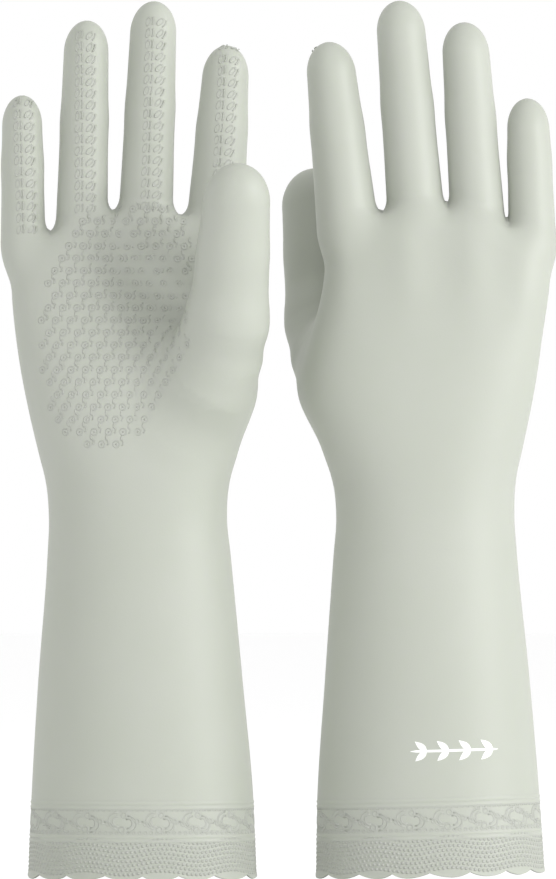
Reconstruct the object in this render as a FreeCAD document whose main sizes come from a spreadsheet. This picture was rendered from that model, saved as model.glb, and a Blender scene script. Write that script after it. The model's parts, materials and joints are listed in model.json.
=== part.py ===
import FreeCAD, Part
import math
import os
import Sketcher
from FreeCAD import Placement, Rotation, Vector

# Pair of household rubber gloves, both right-hand shapes, standing on their hems with the fingers up.
# Each glove is drawn in its own hand frame: +X towards the thumb, -Y out of the palm, +Z to the
# fingertips. Lengths are millimetres and angles are degrees.

os.makedirs("parts", exist_ok=True)
doc = FreeCAD.newDocument("rubber_gloves")
sheet = doc.addObject("Spreadsheet::Sheet", "sizes")

SIZES = {
    # the dipped film and how the two gloves stand
    "wall": 0.6,
    "palm_glove_x": -49.6,
    "back_glove_x": 55.7,
    "palm_glove_lean": 0.0,
    "back_glove_lean": 1.5,
    "palm_glove_fullness": 1.0,
    "back_glove_fullness": 1.075,
    # hem band with its two beads, which hang from its top, and its scalloped edge
    "hem_height": 29.0,
    "hem_width": 83.4,
    "hem_depth": 60.0,
    "bead_height": 0.45,
    "bead_span": 1.2,
    "high_bead_drop": 1.6,
    "low_bead_drop": 12.5,
    "scallop_height": 1.8,
    "scallop_count": 16,
    # sleeve, from the hem band to the wrist fold
    "sleeve_length": 91.0,
    "sleeve_width": 81.2,
    "sleeve_depth": 58.0,
    "forearm_rise": 43.0,
    "forearm_x": -0.72,
    "forearm_width": 74.8,
    "forearm_depth": 53.6,
    "cuff_top_x": -1.2,
    "cuff_top_width": 66.6,
    "cuff_top_depth": 48.4,
    # wrist fold, from the sleeve to the hand
    "wrist_fold_length": 22.0,
    "wrist_rise": 11.0,
    "wrist_x": -1.65,
    "wrist_width": 65.1,
    "wrist_depth": 46.6,
    # printed sprig, above the hem band of the glove seen from the back
    "print_thickness": 0.15,
    "print_x": -9.6,
    "print_rise": 17.0,
    "print_length": 32.0,
    "print_stem": 0.9,
    "print_leaf_length": 5.6,
    "print_leaf_width": 2.2,
    "print_leaf_slope": 40.0,
    "print_leaf_setback": 2.0,
    "print_leaf_pairs": 4,
    # two sections of the thumb base, above the wrist fold, and how far they swing out with the thumb
    "thumb_base_swing": 20.0,
    "thumb_heel_x": 12.0,
    "thumb_heel_y": -10.0,
    "thumb_heel_rise": 18.0,
    "thumb_heel_width": 28.0,
    "thumb_heel_depth": 27.0,
    "thenar_x": 21.5,
    "thenar_y": -17.5,
    "thenar_rise": 41.0,
    "thenar_width": 33.0,
    "thenar_depth": 27.0,
    # palm: its length from the wrist fold to its lowest web, its edge on the little-finger side, and how
    # far it draws in below the stalls
    "palm_length": 90.0,
    "palm_edge_x": -52.0,
    "knuckle_draw_in": 1.25,
    # room left between a finger's root and the nearer web, how deep its doorway is cut into the hand, and
    # how much of a root fold is its neck
    "web_margin": 0.2,
    "door_depth": 2.4,
    "neck_share": 0.5,
    "neck_spread": 0.25,
}

# hand sections from the wrist fold to the high palm: rise, centre x, centre y, width, depth
HAND = {
    "heel": (0.0, -1.65, 0.0, 66.6, 47.0),
    "low_palm": (10.0, -1.65, -0.3, 70.2, 47.5),
    "thumb_side": (24.0, -1.2, -0.5, 78.0, 47.0),
    "mid_palm": (40.0, -0.6, 0.0, 86.3, 44.0),
    "full_palm": (54.0, -0.4, 0.8, 91.1, 38.0),
    "high_palm": (64.0, -1.5, 1.2, 91.0, 34.5),
}
HAND_FIELDS = ("rise", "x", "y", "width", "depth")

# the two sections at the knuckles take their width from the fingers: step above the lowest web, centre
# y, depth
KNUCKLES = {"knuckle": (-10.0, 0.8, 31.5), "over_knuckle": (20.0, 0.0, 29.0)}
KNUCKLE_FIELDS = ("step", "y", "depth")

# webs across the top of the hand, little-finger side first: step above the lowest web
WEB_STEPS = (0.0, 3.0, 11.0, 9.4, 4.0)

# fingers in the order of the webs: room between the finger's two webs, shift of its root from their
# middle, and room left between its root and the palm and back of the hand
FINGERS = {
    "little": (20.0, -0.6, 5.2),
    "ring": (22.7, -0.65, 2.3),
    "middle": (25.2, -0.7, 1.8),
    "index": (27.1, -1.55, 2.5),
}
FINGER_FIELDS = ("span", "shift", "root_margin")

# thumb root: centre x and y, rise above the wrist fold, width and depth
THUMB_ROOT = {"x": 31.4, "y": -28.2, "rise": 61.0, "root_width": 29.2, "root_depth": 25.0}

# one stall for each digit: splay, lean towards the palm, width at its start and near its tip, depth for
# one of width, then lengths
DIGITS = {
    "index": (3.0, 3.0, 19.8, 16.8, 0.98, 14.0, 15.0, 13.0, 65.0, 12.0),
    "middle": (1.6, 3.0, 19.2, 16.9, 0.98, 14.0, 19.0, 13.0, 78.0, 12.0),
    "ring": (0.0, 3.0, 17.8, 16.2, 0.98, 14.0, 18.0, 13.0, 74.6, 12.0),
    "little": (-1.6, 3.0, 15.9, 14.7, 0.98, 12.0, 9.5, 11.5, 52.2, 10.0),
    "thumb": (4.2, 17.0, 28.0, 24.4, 0.84, 12.0, 9.0, 12.0, 60.1, 14.0),
}
DIGIT_FIELDS = ("splay", "lean", "stall_width", "tip_width", "roundness", "root_fold", "lower",
                "knuckle_fold", "length", "cap")


def add_sizes(table, fields):
    """Name every size of a table after its row and its field."""
    SIZES.update((f"{row}_{field}", value)
                 for row, values in table.items() for field, value in zip(fields, values))


add_sizes(HAND, HAND_FIELDS)
add_sizes(KNUCKLES, KNUCKLE_FIELDS)
add_sizes(FINGERS, FINGER_FIELDS)
add_sizes(DIGITS, DIGIT_FIELDS)
SIZES.update((f"thumb_{field}", value) for field, value in THUMB_ROOT.items())
SIZES.update((f"web{number}_step", value) for number, value in enumerate(WEB_STEPS))

# heights above the hem, each piece standing on the one below it
SIZES["forearm_z"] = SIZES["hem_height"] + SIZES["forearm_rise"]
SIZES["cuff_top_z"] = SIZES["hem_height"] + SIZES["sleeve_length"]
SIZES["wrist_z"] = SIZES["cuff_top_z"] + SIZES["wrist_rise"]
SIZES["hand_z"] = SIZES["cuff_top_z"] + SIZES["wrist_fold_length"]
SIZES["print_z"] = SIZES["hem_height"] + SIZES["print_rise"]
for place in (*HAND, "thumb_heel", "thenar", "thumb"):
    SIZES[f"{place}_z"] = SIZES["hand_z"] + SIZES[f"{place}_rise"]
for place in (*KNUCKLES, *(f"web{number}" for number in range(len(WEB_STEPS)))):
    SIZES[f"{place}_z"] = SIZES["hand_z"] + SIZES["palm_length"] + SIZES[f"{place}_step"]

# webs, knuckle sections and finger roots, all set out from the room that each finger needs
SIZES["web0_x"] = SIZES["palm_edge_x"]
for number, finger in enumerate(FINGERS, 1):
    SIZES[f"web{number}_x"] = SIZES[f"web{number - 1}_x"] + SIZES[f"{finger}_span"]
palm_span = SIZES[f"web{len(FINGERS)}_x"] - SIZES["web0_x"]
for station, draw_in in (("knuckle", SIZES["knuckle_draw_in"]), ("over_knuckle", 0)):
    SIZES[f"{station}_x"] = SIZES["web0_x"] + palm_span / 2 + draw_in
    SIZES[f"{station}_width"] = palm_span - 2 * draw_in
for number, finger in enumerate(FINGERS):
    left, right = (Vector(SIZES[f"web{web}_x"], 0, SIZES[f"web{web}_z"]) for web in (number, number + 1))
    slope = (right.z - left.z) / (right.x - left.x)
    root_x = (left.x + right.x) / 2 + SIZES[f"{finger}_shift"]
    root_z = left.z + slope * (root_x - left.x)
    room = min(root_x - left.x, right.x - root_x) - SIZES["web_margin"]
    up_the_knuckles = (root_z - SIZES["knuckle_z"]) / (SIZES["over_knuckle_z"] - SIZES["knuckle_z"])
    hand_depth = (SIZES["knuckle_depth"]
                  + (SIZES["over_knuckle_depth"] - SIZES["knuckle_depth"]) * up_the_knuckles)
    SIZES.update({f"{finger}_x": root_x, f"{finger}_y": 0.0, f"{finger}_z": root_z,
                  f"{finger}_facet": math.degrees(math.atan(slope)),
                  f"{finger}_root_width": 2 * room * math.hypot(1, slope),
                  f"{finger}_root_depth": hand_depth - 2 * SIZES[f"{finger}_root_margin"]})
for row, (name, value) in enumerate(SIZES.items(), 1):
    sheet.set(f"A{row}", name)
    sheet.set(f"B{row}", str(value))
    sheet.setAlias(f"B{row}", name)
doc.recompute()

nodes = []


def bind(feature, **bindings):
    """Tie properties of a feature to expressions of the sheet; a double underscore stands for a dot."""
    for name, expression in bindings.items():
        feature.setExpression(name.replace("__", "."), expression)
    return feature


def ref(name):
    """Expression that reads one cell of the sheet."""
    return f"sizes.{name}"


def ellipse(name, width, depth, inset, z, x="0", y="0", turn=None):
    """Ellipse across the hand frame, of the given full width and depth less the inset all round."""
    section = doc.addObject("Part::Ellipse", name)
    if turn is not None:
        section.Placement = Placement(Vector(), turn)
    long_side = f"({width}) / 2 - {inset}"
    short_side = f"({depth}) / 2 - {inset}"
    bind(section, MajorRadius=long_side, MinorRadius=short_side)
    return bind(section, Placement__Base__x=x, Placement__Base__y=y, Placement__Base__z=z)


def upright_ellipse(name, width, depth, inset, z, turn=None):
    """The same section where it is deeper than it is wide: the long radius lies along Y."""
    quarter = Rotation(Vector(0, 0, 1), 90)
    return ellipse(name, depth, width, inset, z, turn=quarter if turn is None else turn * quarter)


def slot(name, station, inset):
    """Flat-sided palm section with half-round edges, of one hand station less the inset all round."""
    sketch = doc.addObject("Sketcher::SketchObject", name)
    half = SIZES[f"{station}_width"] / 2 - SIZES["wall"]
    radius = SIZES[f"{station}_depth"] / 2 - SIZES["wall"]
    reach = half - radius
    up = Vector(0, 0, 1)
    quarter = math.pi / 2
    sketch.addGeometry(Part.ArcOfCircle(Part.Circle(Vector(reach, 0, 0), up, radius), -quarter, quarter))
    sketch.addGeometry(Part.LineSegment(Vector(reach, radius, 0), Vector(-reach, radius, 0)))
    sketch.addGeometry(Part.ArcOfCircle(Part.Circle(Vector(-reach, 0, 0), up, radius), quarter, 3 * quarter))
    sketch.addGeometry(Part.LineSegment(Vector(-reach, -radius, 0), Vector(reach, -radius, 0)))
    for first, end, second, start in ((0, 2, 1, 1), (1, 2, 2, 1), (2, 2, 3, 1), (3, 2, 0, 1)):
        sketch.addConstraint(Sketcher.Constraint("Tangent", first, end, second, start))
    for line in (1, 3):
        sketch.addConstraint(Sketcher.Constraint("Horizontal", line))
    sketch.addConstraint(Sketcher.Constraint("Symmetric", 0, 3, 2, 3, -1, 1))
    spread = sketch.addConstraint(Sketcher.Constraint("DistanceX", 2, 3, 0, 3, 2 * reach))
    edge = sketch.addConstraint(Sketcher.Constraint("Radius", 0, radius))
    width, depth = ref(f"{station}_width"), ref(f"{station}_depth")
    sketch.setExpression(f"Constraints[{spread}]", f"{width} - {depth}")
    sketch.setExpression(f"Constraints[{edge}]", f"{depth} / 2 - {inset}")
    return bind(sketch, Placement__Base__x=ref(f"{station}_x"), Placement__Base__y=ref(f"{station}_y"),
                Placement__Base__z=ref(f"{station}_z"))


def loft(name, sections, ruled=False):
    """Solid through closed sections."""
    solid = doc.addObject("Part::Loft", name)
    solid.Sections = sections
    solid.Solid = True
    solid.Ruled = ruled
    return solid


def boolean(kind, name, base, tool):
    """Two-body boolean: Cut or Common."""
    result = doc.addObject(f"Part::{kind}", name)
    result.Base = base
    result.Tool = tool
    return result


def fuse(name, shapes):
    """Union of several solids."""
    union = doc.addObject("Part::MultiFuse", name)
    union.Shapes = shapes
    return union


def extrude(name, base, direction, forward, backward="0"):
    """Solid from a closed outline, pushed along a direction by expressions of length."""
    solid = doc.addObject("Part::Extrusion", name)
    solid.Base = base
    solid.DirMode = "Custom"
    solid.Dir = direction
    solid.Solid = True
    return bind(solid, LengthFwd=forward, LengthRev=backward)


def node(name, feature, placement):
    """Name a finished sub-part and stand it in its place."""
    feature.Label = name
    feature.Placement = placement
    nodes.append(feature)


def between(first, last, share):
    """Expression a share of the way from one size to another."""
    return f"({first} + ({last} - {first}) * ({share}))"


def tube(name, stations, ruled=False):
    """Film tube through sections; each station gives a function that draws it at an inset."""
    outer = loft(f"{name}_outside", [draw(f"{name}_o{n}", "0") for n, draw in enumerate(stations)], ruled)
    inner = loft(f"{name}_inside", [draw(f"{name}_i{n}", ref("wall")) for n, draw in enumerate(stations)],
                 ruled)
    return boolean("Cut", name, outer, inner), outer


def across(width, depth, z, x="0"):
    """Station of a film tube: an ellipse at a height."""
    return lambda name, inset: ellipse(name, width, depth, inset, z, x=x)


def scallop_gap(name):
    """Gap between two lobes of the hem, drawn in the XZ plane with its cusp up."""
    pitch = scallop_pitch
    rise = SIZES["scallop_height"]
    radius = (pitch ** 2 / 4 + rise ** 2) / (2 * rise)
    bow = pitch / 4
    bow_height = radius - math.sqrt(radius ** 2 - bow ** 2)
    left = Part.Arc(Vector(-pitch / 2, 0, 0), Vector(bow - pitch / 2, 0, bow_height), Vector(0, 0, rise))
    right = Part.Arc(Vector(0, 0, rise), Vector(pitch / 2 - bow, 0, bow_height), Vector(pitch / 2, 0, 0))
    corners = [Vector(pitch / 2, 0, 0), Vector(pitch / 2, 0, -rise), Vector(-pitch / 2, 0, -rise),
               Vector(-pitch / 2, 0, 0)]
    lines = [Part.LineSegment(start, end) for start, end in zip(corners, corners[1:])]
    outline = doc.addObject("Part::Feature", name)
    outline.Shape = Part.Wire([curve.toShape() for curve in [left, right, *lines]])
    return outline


hem_half_width = SIZES["hem_width"] / 2
hem_half_depth = SIZES["hem_depth"] / 2
hem_girth = math.pi * (3 * (hem_half_width + hem_half_depth)
                       - math.sqrt((3 * hem_half_width + hem_half_depth)
                                   * (hem_half_width + 3 * hem_half_depth)))
scallop_pitch = hem_girth / SIZES["scallop_count"]


def hem_band(glove, placement):
    """Border band at the open end: two beads round it and a scalloped edge."""
    def band(z, raised):
        width = between(ref("hem_width"), ref("sleeve_width"), f"({z}) / {ref('hem_height')}")
        depth = between(ref("hem_depth"), ref("sleeve_depth"), f"({z}) / {ref('hem_height')}")
        lift = f" + 2 * {ref('bead_height')}" if raised else ""
        return across(width + lift, depth + lift, z)

    stations = [band("0", False)]
    for drop in ("low_bead_drop", "high_bead_drop"):
        crown = f"({ref('hem_height')} - {ref(drop)})"
        half_span = f"{ref('bead_span')} / 2"
        stations += [band(f"{crown} - {half_span}", False), band(crown, True),
                     band(f"{crown} + {half_span}", False)]
    stations.append(band(ref("hem_height"), False))
    outside = loft(f"{glove}_hem_outside", [draw(f"{glove}_hem_o{n}", "0")
                                            for n, draw in enumerate(stations)], ruled=True)
    inside = loft(f"{glove}_hem_inside", [draw(f"{glove}_hem_i{n}", ref("wall"))
                                          for n, draw in enumerate((stations[0], stations[-1]))], ruled=True)
    ring = boolean("Cut", f"{glove}_hem_ring", outside, inside)
    outline = scallop_gap(f"{glove}_scallop_gap")
    reach = str(scallop_pitch / 4)  # more than the hem curves away over one lobe, and its wall
    gaps = []
    for number in range(SIZES["scallop_count"]):
        angle = 2 * math.pi * number / SIZES["scallop_count"]
        slant = math.atan2(hem_half_width * math.sin(angle), hem_half_depth * math.cos(angle))
        even = angle + math.remainder(slant - angle, 2 * math.pi) / 2
        foot = Vector(hem_half_width * math.cos(even), hem_half_depth * math.sin(even), 0)
        outward = Vector(foot.x / hem_half_width ** 2, foot.y / hem_half_depth ** 2, 0).normalize()
        gap = extrude(f"{glove}_gap{number}", outline, Vector(0, 1, 0), reach, reach)
        gap.Placement = Placement(foot, Rotation(Vector(0, 1, 0), outward))
        gaps.append(gap)
    node(f"{glove}_hem_band", boolean("Cut", f"{glove}_hem", ring, fuse(f"{glove}_gaps", gaps)), placement)


def sleeve_and_wrist(glove, placement):
    """Forearm sleeve and the film that folds at the wrist; returns the outside of the sleeve."""
    top = across(ref("cuff_top_width"), ref("cuff_top_depth"), ref("cuff_top_z"), ref("cuff_top_x"))
    sleeve, outside = tube(f"{glove}_sleeve_tube", [
        across(ref("sleeve_width"), ref("sleeve_depth"), ref("hem_height")),
        across(ref("forearm_width"), ref("forearm_depth"), ref("forearm_z"), ref("forearm_x")),
        top])
    node(f"{glove}_sleeve", sleeve, placement)
    wrist, _ = tube(f"{glove}_wrist_tube", [
        top, across(ref("wrist_width"), ref("wrist_depth"), ref("wrist_z"), ref("wrist_x")),
        lambda name, inset: slot(name, "heel", inset)])
    node(f"{glove}_wrist_fold", wrist, placement)
    return outside


def digit_frame(digit):
    """Placement of a stall in the hand frame: its root centre, with +Z along the stall."""
    turn = Rotation(Vector(0, 1, 0), SIZES[f"{digit}_splay"]) * Rotation(Vector(1, 0, 0),
                                                                         SIZES[f"{digit}_lean"])
    return Placement(Vector(*(SIZES[f"{digit}_{axis}"] for axis in "xyz")), turn)


def root_turn(digit):
    """Turn of the root plane of a stall, seen from its frame: a finger's follows the line of the webs."""
    if digit not in FINGERS:
        return Rotation()
    return digit_frame(digit).Rotation.inverted() * Rotation(Vector(0, 1, 0), -SIZES[f"{digit}_facet"])


def root_ellipse(name, digit, inset):
    """Root section of a stall in the frame of the stall."""
    width, depth = ref(f"{digit}_root_width"), ref(f"{digit}_root_depth")
    if SIZES[f"{digit}_root_width"] < SIZES[f"{digit}_root_depth"]:
        return upright_ellipse(name, width, depth, inset, "0", root_turn(digit))
    return ellipse(name, width, depth, inset, "0", turn=root_turn(digit))


def stall(glove, digit, glove_place):
    """The four lengths of film of one digit: root fold, lower stall, knuckle fold and fingertip."""
    full = ref(f"{glove}_fullness")
    start = f"{ref(digit + '_stall_width')} * {full}"
    end = f"{ref(digit + '_tip_width')} * {full}"
    lower_z = ref(f"{digit}_root_fold")
    knuckle_z = f"({lower_z} + {ref(digit + '_lower')})"
    tip_z = f"({knuckle_z} + {ref(digit + '_knuckle_fold')})"
    cap_z = f"({ref(digit + '_length')} - {ref(digit + '_cap')})"

    def ring(z):
        width = between(start, end, f"({z} - {lower_z}) / ({cap_z} - {lower_z})")
        return across(width, f"{width} * {ref(digit + '_roundness')}", z)

    def neck(name, inset):
        width = between(start, ref(f"{digit}_root_width"), ref("neck_spread"))
        return ellipse(name, width, f"{width} * {ref(digit + '_roundness')}", inset,
                       f"{lower_z} * {ref('neck_share')}")

    name = f"{glove}_{digit}"
    placement = glove_place * digit_frame(digit)
    fold, _ = tube(f"{name}_root_tube", [lambda label, inset: root_ellipse(label, digit, inset), neck,
                                         ring(lower_z)])
    node(f"{name}_root_fold", fold, placement)
    lower, _ = tube(f"{name}_lower_tube", [ring(lower_z), ring(knuckle_z)])
    node(f"{name}_lower_stall", lower, placement)
    knuckle, _ = tube(f"{name}_knuckle_tube", [ring(knuckle_z), ring(tip_z)])
    node(f"{name}_knuckle_fold", knuckle, placement)

    halves = []
    for side, inset in (("outside", "0"), ("inside", ref("wall"))):
        barrel = loft(f"{name}_tip_{side}", [ring(tip_z)(f"{name}_tip_{side}0", inset),
                                             ring(cap_z)(f"{name}_tip_{side}1", inset)])
        cap = doc.addObject("Part::Ellipsoid", f"{name}_cap_{side}")
        cap.Angle1 = 0
        bind(cap, Radius1=f"{ref(digit + '_cap')} - {inset}", Radius2=f"{end} / 2 - {inset}",
             Radius3=f"{end} * {ref(digit + '_roundness')} / 2 - {inset}", Placement__Base__z=cap_z)
        halves.append(fuse(f"{name}_end_{side}", [barrel, cap]))
    node(f"{name}_fingertip", boolean("Cut", f"{name}_tip", *halves), placement)


def hand_shell(glove, placement):
    """Palm, back and thumb base in one, closed along the web line but open at each stall."""
    sides = []
    past = palm_span  # a whole palm out from its middle, so clear of both edges
    front = -SIZES["thumb_side_depth"]
    for side, inset in (("outside", "0"), ("inside", ref("wall"))):
        palm = loft(f"{glove}_palm_{side}", [slot(f"{glove}_{station}_{side}", station, inset)
                                             for station in (*HAND, *KNUCKLES)], ruled=True)
        drop = 0 if side == "outside" else SIZES["wall"]
        line = [Vector(SIZES[f"web{number}_x"], front, SIZES[f"web{number}_z"] - drop)
                for number in range(len(WEB_STEPS))]
        ends = [Vector(past, front, line[-1].z), Vector(past, front, SIZES["cuff_top_z"]),
                Vector(-past, front, SIZES["cuff_top_z"]), Vector(-past, front, line[0].z)]
        outline = doc.addObject("Part::Polygon", f"{glove}_web_line_{side}")
        outline.Nodes = line + ends
        outline.Close = True
        below = extrude(f"{glove}_below_webs_{side}", outline, Vector(0, 1, 0),
                        f"2 * {ref('thumb_side_depth')}")
        body = boolean("Common", f"{glove}_palm_body_{side}", palm, below)
        thumb_root = root_ellipse(f"{glove}_thumb_root_{side}", "thumb", inset)
        thumb_root.Placement = digit_frame("thumb")
        for axis in "xyz":
            thumb_root.setExpression(f"Placement.Base.{axis}", ref(f"thumb_{axis}"))
        swing = (Rotation(Vector(0, 1, 0), SIZES["thumb_base_swing"])
                 * Rotation(Vector(1, 0, 0), SIZES["thumb_base_swing"]))
        base = [ellipse(f"{glove}_{place}_{side}", ref(f"{place}_width"), ref(f"{place}_depth"), inset,
                        ref(f"{place}_z"), ref(f"{place}_x"), ref(f"{place}_y"), swing)
                for place in ("thumb_heel", "thenar")]
        thumb = loft(f"{glove}_thumb_base_{side}", [*base, thumb_root])
        sides.append([body, thumb])
    doors = []
    for digit in FINGERS:
        outline = root_ellipse(f"{glove}_{digit}_door", digit, ref("wall"))
        door = extrude(f"{glove}_{digit}_door_cut", outline, root_turn(digit).multVec(Vector(0, 0, 1)),
                       ref("wall"), ref("door_depth"))
        door.Placement = digit_frame(digit)
        doors.append(door)
    outside = fuse(f"{glove}_hand_outside", sides[0])
    inside = fuse(f"{glove}_hand_inside", sides[1] + doors)
    node(f"{glove}_hand", boolean("Cut", f"{glove}_hand_shell", outside, inside), placement)


def printed_mark(glove, placement, sleeve_outside):
    """Raised print of a plain leafy sprig, wrapped on the sleeve."""
    def skin(z, width, depth, x="0"):
        return ellipse(f"print_{z}", f"{ref(width)} + 2 * {ref('print_thickness')}",
                       f"{ref(depth)} + 2 * {ref('print_thickness')}", "0", ref(z), x=x)

    over = loft("print_over", [
        skin("hem_height", "sleeve_width", "sleeve_depth"),
        skin("forearm_z", "forearm_width", "forearm_depth", ref("forearm_x")),
        skin("cuff_top_z", "cuff_top_width", "cuff_top_depth", ref("cuff_top_x"))])
    film = boolean("Cut", "print_film", over, sleeve_outside)
    stem = doc.addObject("Part::Box", "print_stem_bar")
    bind(stem, Length=ref("print_length"), Width=ref("sleeve_depth"), Height=ref("print_stem"),
         Placement__Base__x=f"{ref('print_x')} - {ref('print_length')} / 2",
         Placement__Base__z=f"{ref('print_z')} - {ref('print_stem')} / 2")
    shapes = [stem]
    pairs = SIZES["print_leaf_pairs"]
    reach = SIZES["print_leaf_length"] / 2
    for number in range(pairs):
        for side in (-1, 1):
            slope = math.radians(SIZES["print_leaf_slope"] * side)
            along = (SIZES["print_x"] + SIZES["print_length"] * ((number + 0.5) / pairs - 0.5)
                     - SIZES["print_leaf_setback"])
            leaf = doc.addObject("Part::Ellipse", f"print_leaf{number}{'ab'[side > 0]}")
            bind(leaf, MajorRadius=f"{ref('print_leaf_length')} / 2",
                 MinorRadius=f"{ref('print_leaf_width')} / 2")
            leaf.Placement = Placement(
                Vector(along + reach * math.cos(slope), 0, SIZES["print_z"] + reach * math.sin(slope)),
                Rotation(Vector(1, 0, 0), 90) * Rotation(Vector(0, 0, 1), math.degrees(slope)))
            shapes.append(extrude(f"{leaf.Name}_cut", leaf, Vector(0, 1, 0), ref("sleeve_depth")))
    sprig = fuse("print_sprig", shapes)
    node(f"{glove}_printed_sprig", boolean("Common", "print_on_sleeve", film, sprig), placement)


PALM_GLOVE = "palm_glove"
BACK_GLOVE = "back_glove"
for glove, facing in ((PALM_GLOVE, 0), (BACK_GLOVE, 180)):
    lean = SIZES[f"{glove}_lean"]
    raised = hem_half_width * math.sin(math.radians(lean))
    stand = Placement(Vector(SIZES[f"{glove}_x"], 0, raised),
                      Rotation(Vector(0, 1, 0), -lean) * Rotation(Vector(0, 0, 1), facing))
    hem_band(glove, stand)
    sleeve_outside = sleeve_and_wrist(glove, stand)
    hand_shell(glove, stand)
    for digit in DIGITS:
        stall(glove, digit, stand)
    if glove == BACK_GLOVE:
        printed_mark(glove, stand, sleeve_outside)

doc.recompute()
for feature in doc.Objects:
    if any(word in feature.State for word in ("Invalid", "Error")):
        raise RuntimeError(f"{feature.Name} did not compute")
for feature in nodes:
    if feature.Shape.isNull() or not feature.Shape.isValid() or not feature.Shape.Solids:
        raise RuntimeError(f"{feature.Label} has no sound solid")
    feature.Shape.exportStep(f"parts/{feature.Label}.step")
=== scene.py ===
"""Looks of a pair of dipped household gloves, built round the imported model.

Each glove is one soft skin. Its sleeve and wrist are grids wound round the arm, its hand and stalls are one
smooth surface drawn from a distance field, and the skin is then cut where the glove bends. Glove space has
+X towards the thumb, -Y out of the palm and +Z to the fingertips, in millimetres, with its origin at the
middle of the cuff; a piece is moved to the row frame, in metres, when its mesh is made.
"""

from __future__ import annotations

import json
import logging
import math
from dataclasses import dataclass, field
from enum import Enum
from typing import Iterable, Sequence

import bmesh
import bpy
import numpy as np
from mathutils import Matrix, Vector

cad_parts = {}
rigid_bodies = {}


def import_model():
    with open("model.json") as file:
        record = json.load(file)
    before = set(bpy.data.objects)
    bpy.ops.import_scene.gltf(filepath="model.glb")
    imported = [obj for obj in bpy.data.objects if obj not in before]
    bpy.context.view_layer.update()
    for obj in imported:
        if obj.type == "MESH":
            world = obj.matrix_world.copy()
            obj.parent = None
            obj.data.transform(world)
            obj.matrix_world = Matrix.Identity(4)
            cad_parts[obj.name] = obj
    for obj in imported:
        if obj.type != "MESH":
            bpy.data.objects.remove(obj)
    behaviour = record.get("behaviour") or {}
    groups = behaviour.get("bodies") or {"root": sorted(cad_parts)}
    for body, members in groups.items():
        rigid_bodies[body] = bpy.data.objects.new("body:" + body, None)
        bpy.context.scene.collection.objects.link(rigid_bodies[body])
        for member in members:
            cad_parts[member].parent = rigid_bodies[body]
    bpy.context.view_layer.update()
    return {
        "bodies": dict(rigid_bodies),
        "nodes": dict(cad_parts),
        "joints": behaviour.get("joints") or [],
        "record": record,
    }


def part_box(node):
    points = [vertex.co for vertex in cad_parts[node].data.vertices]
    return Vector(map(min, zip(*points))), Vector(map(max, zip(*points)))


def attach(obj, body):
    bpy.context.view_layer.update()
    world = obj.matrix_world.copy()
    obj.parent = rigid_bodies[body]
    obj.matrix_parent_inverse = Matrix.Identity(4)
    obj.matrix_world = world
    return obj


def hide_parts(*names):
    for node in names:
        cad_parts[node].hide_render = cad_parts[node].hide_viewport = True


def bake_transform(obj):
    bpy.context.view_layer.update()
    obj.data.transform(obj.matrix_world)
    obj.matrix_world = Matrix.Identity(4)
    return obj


LOG = logging.getLogger("gloves")
MM = 0.001
WALL = 0.6
FAR = 1e3
TINY = 1e-3
GRID_PARTS = 24
Array = np.ndarray
Colour = tuple[float, float, float]


class View(Enum):
    """Which side of a glove faces the viewer."""

    PALM = "palm_glove"
    BACK = "back_glove"


class Pattern(Enum):
    """Raised patterns that are moulded into the film."""

    SCROLLS = "scrolls"
    STROKES = "strokes"


# ---------------------------------------------------------------------------------------------------------
# Node expressions
# ---------------------------------------------------------------------------------------------------------


@dataclass(frozen=True)
class Wire:
    """A node socket that can be used in an arithmetic expression on values."""

    maker: "NodeMaker"
    socket: bpy.types.NodeSocket

    def math(self, operation: str, *others: "Wire | float") -> "Wire":
        """Add a Math node that has this wire first and the others after it."""
        made = self.maker.make("ShaderNodeMath", {"operation": operation}, dict(enumerate((self, *others))))
        return self.maker.out(made)

    def __add__(self, other: "Wire | float") -> "Wire":
        """Sum of two values."""
        return self.math("ADD", other)

    __radd__ = __add__

    def __sub__(self, other: "Wire | float") -> "Wire":
        """Difference of two values."""
        return self.math("SUBTRACT", other)

    def __rsub__(self, other: float) -> "Wire":
        """Difference of a number and this value."""
        return (self * -1.0) + other

    def __mul__(self, other: "Wire | float") -> "Wire":
        """Product of two values."""
        return self.math("MULTIPLY", other)

    __rmul__ = __mul__

    def __truediv__(self, other: "Wire | float") -> "Wire":
        """Quotient of two values."""
        return self.math("DIVIDE", other)

    def __pow__(self, other: float) -> "Wire":
        """Power of this value."""
        return self.math("POWER", other)


class NodeMaker:
    """Adds nodes to one tree."""

    def __init__(self, tree: bpy.types.NodeTree) -> None:
        """Keep the tree that the nodes go into."""
        self.tree = tree

    def make(self, kind: str, settings: dict | None = None, sockets: dict | None = None) -> bpy.types.Node:
        """Add a node, choose its settings, then fill its input sockets.

        Args:
            kind: the node's type name.
            settings: attributes of the node, set before its sockets are filled.
            sockets: input name or number to a value, a Wire or a node socket.

        Returns:
            The new node.
        """
        made = self.tree.nodes.new(kind)
        for name, value in (settings or {}).items():
            setattr(made, name, value)
        for name, value in (sockets or {}).items():
            if isinstance(value, Wire):
                self.tree.links.new(value.socket, made.inputs[name])
            elif isinstance(value, bpy.types.NodeSocket):
                self.tree.links.new(value, made.inputs[name])
            else:
                made.inputs[name].default_value = value
        return made

    def out(self, made: bpy.types.Node, name: str | int = 0) -> Wire:
        """Wire from one output of a node."""
        return Wire(self, made.outputs[name])


# ---------------------------------------------------------------------------------------------------------
# Finishes
# ---------------------------------------------------------------------------------------------------------


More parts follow.
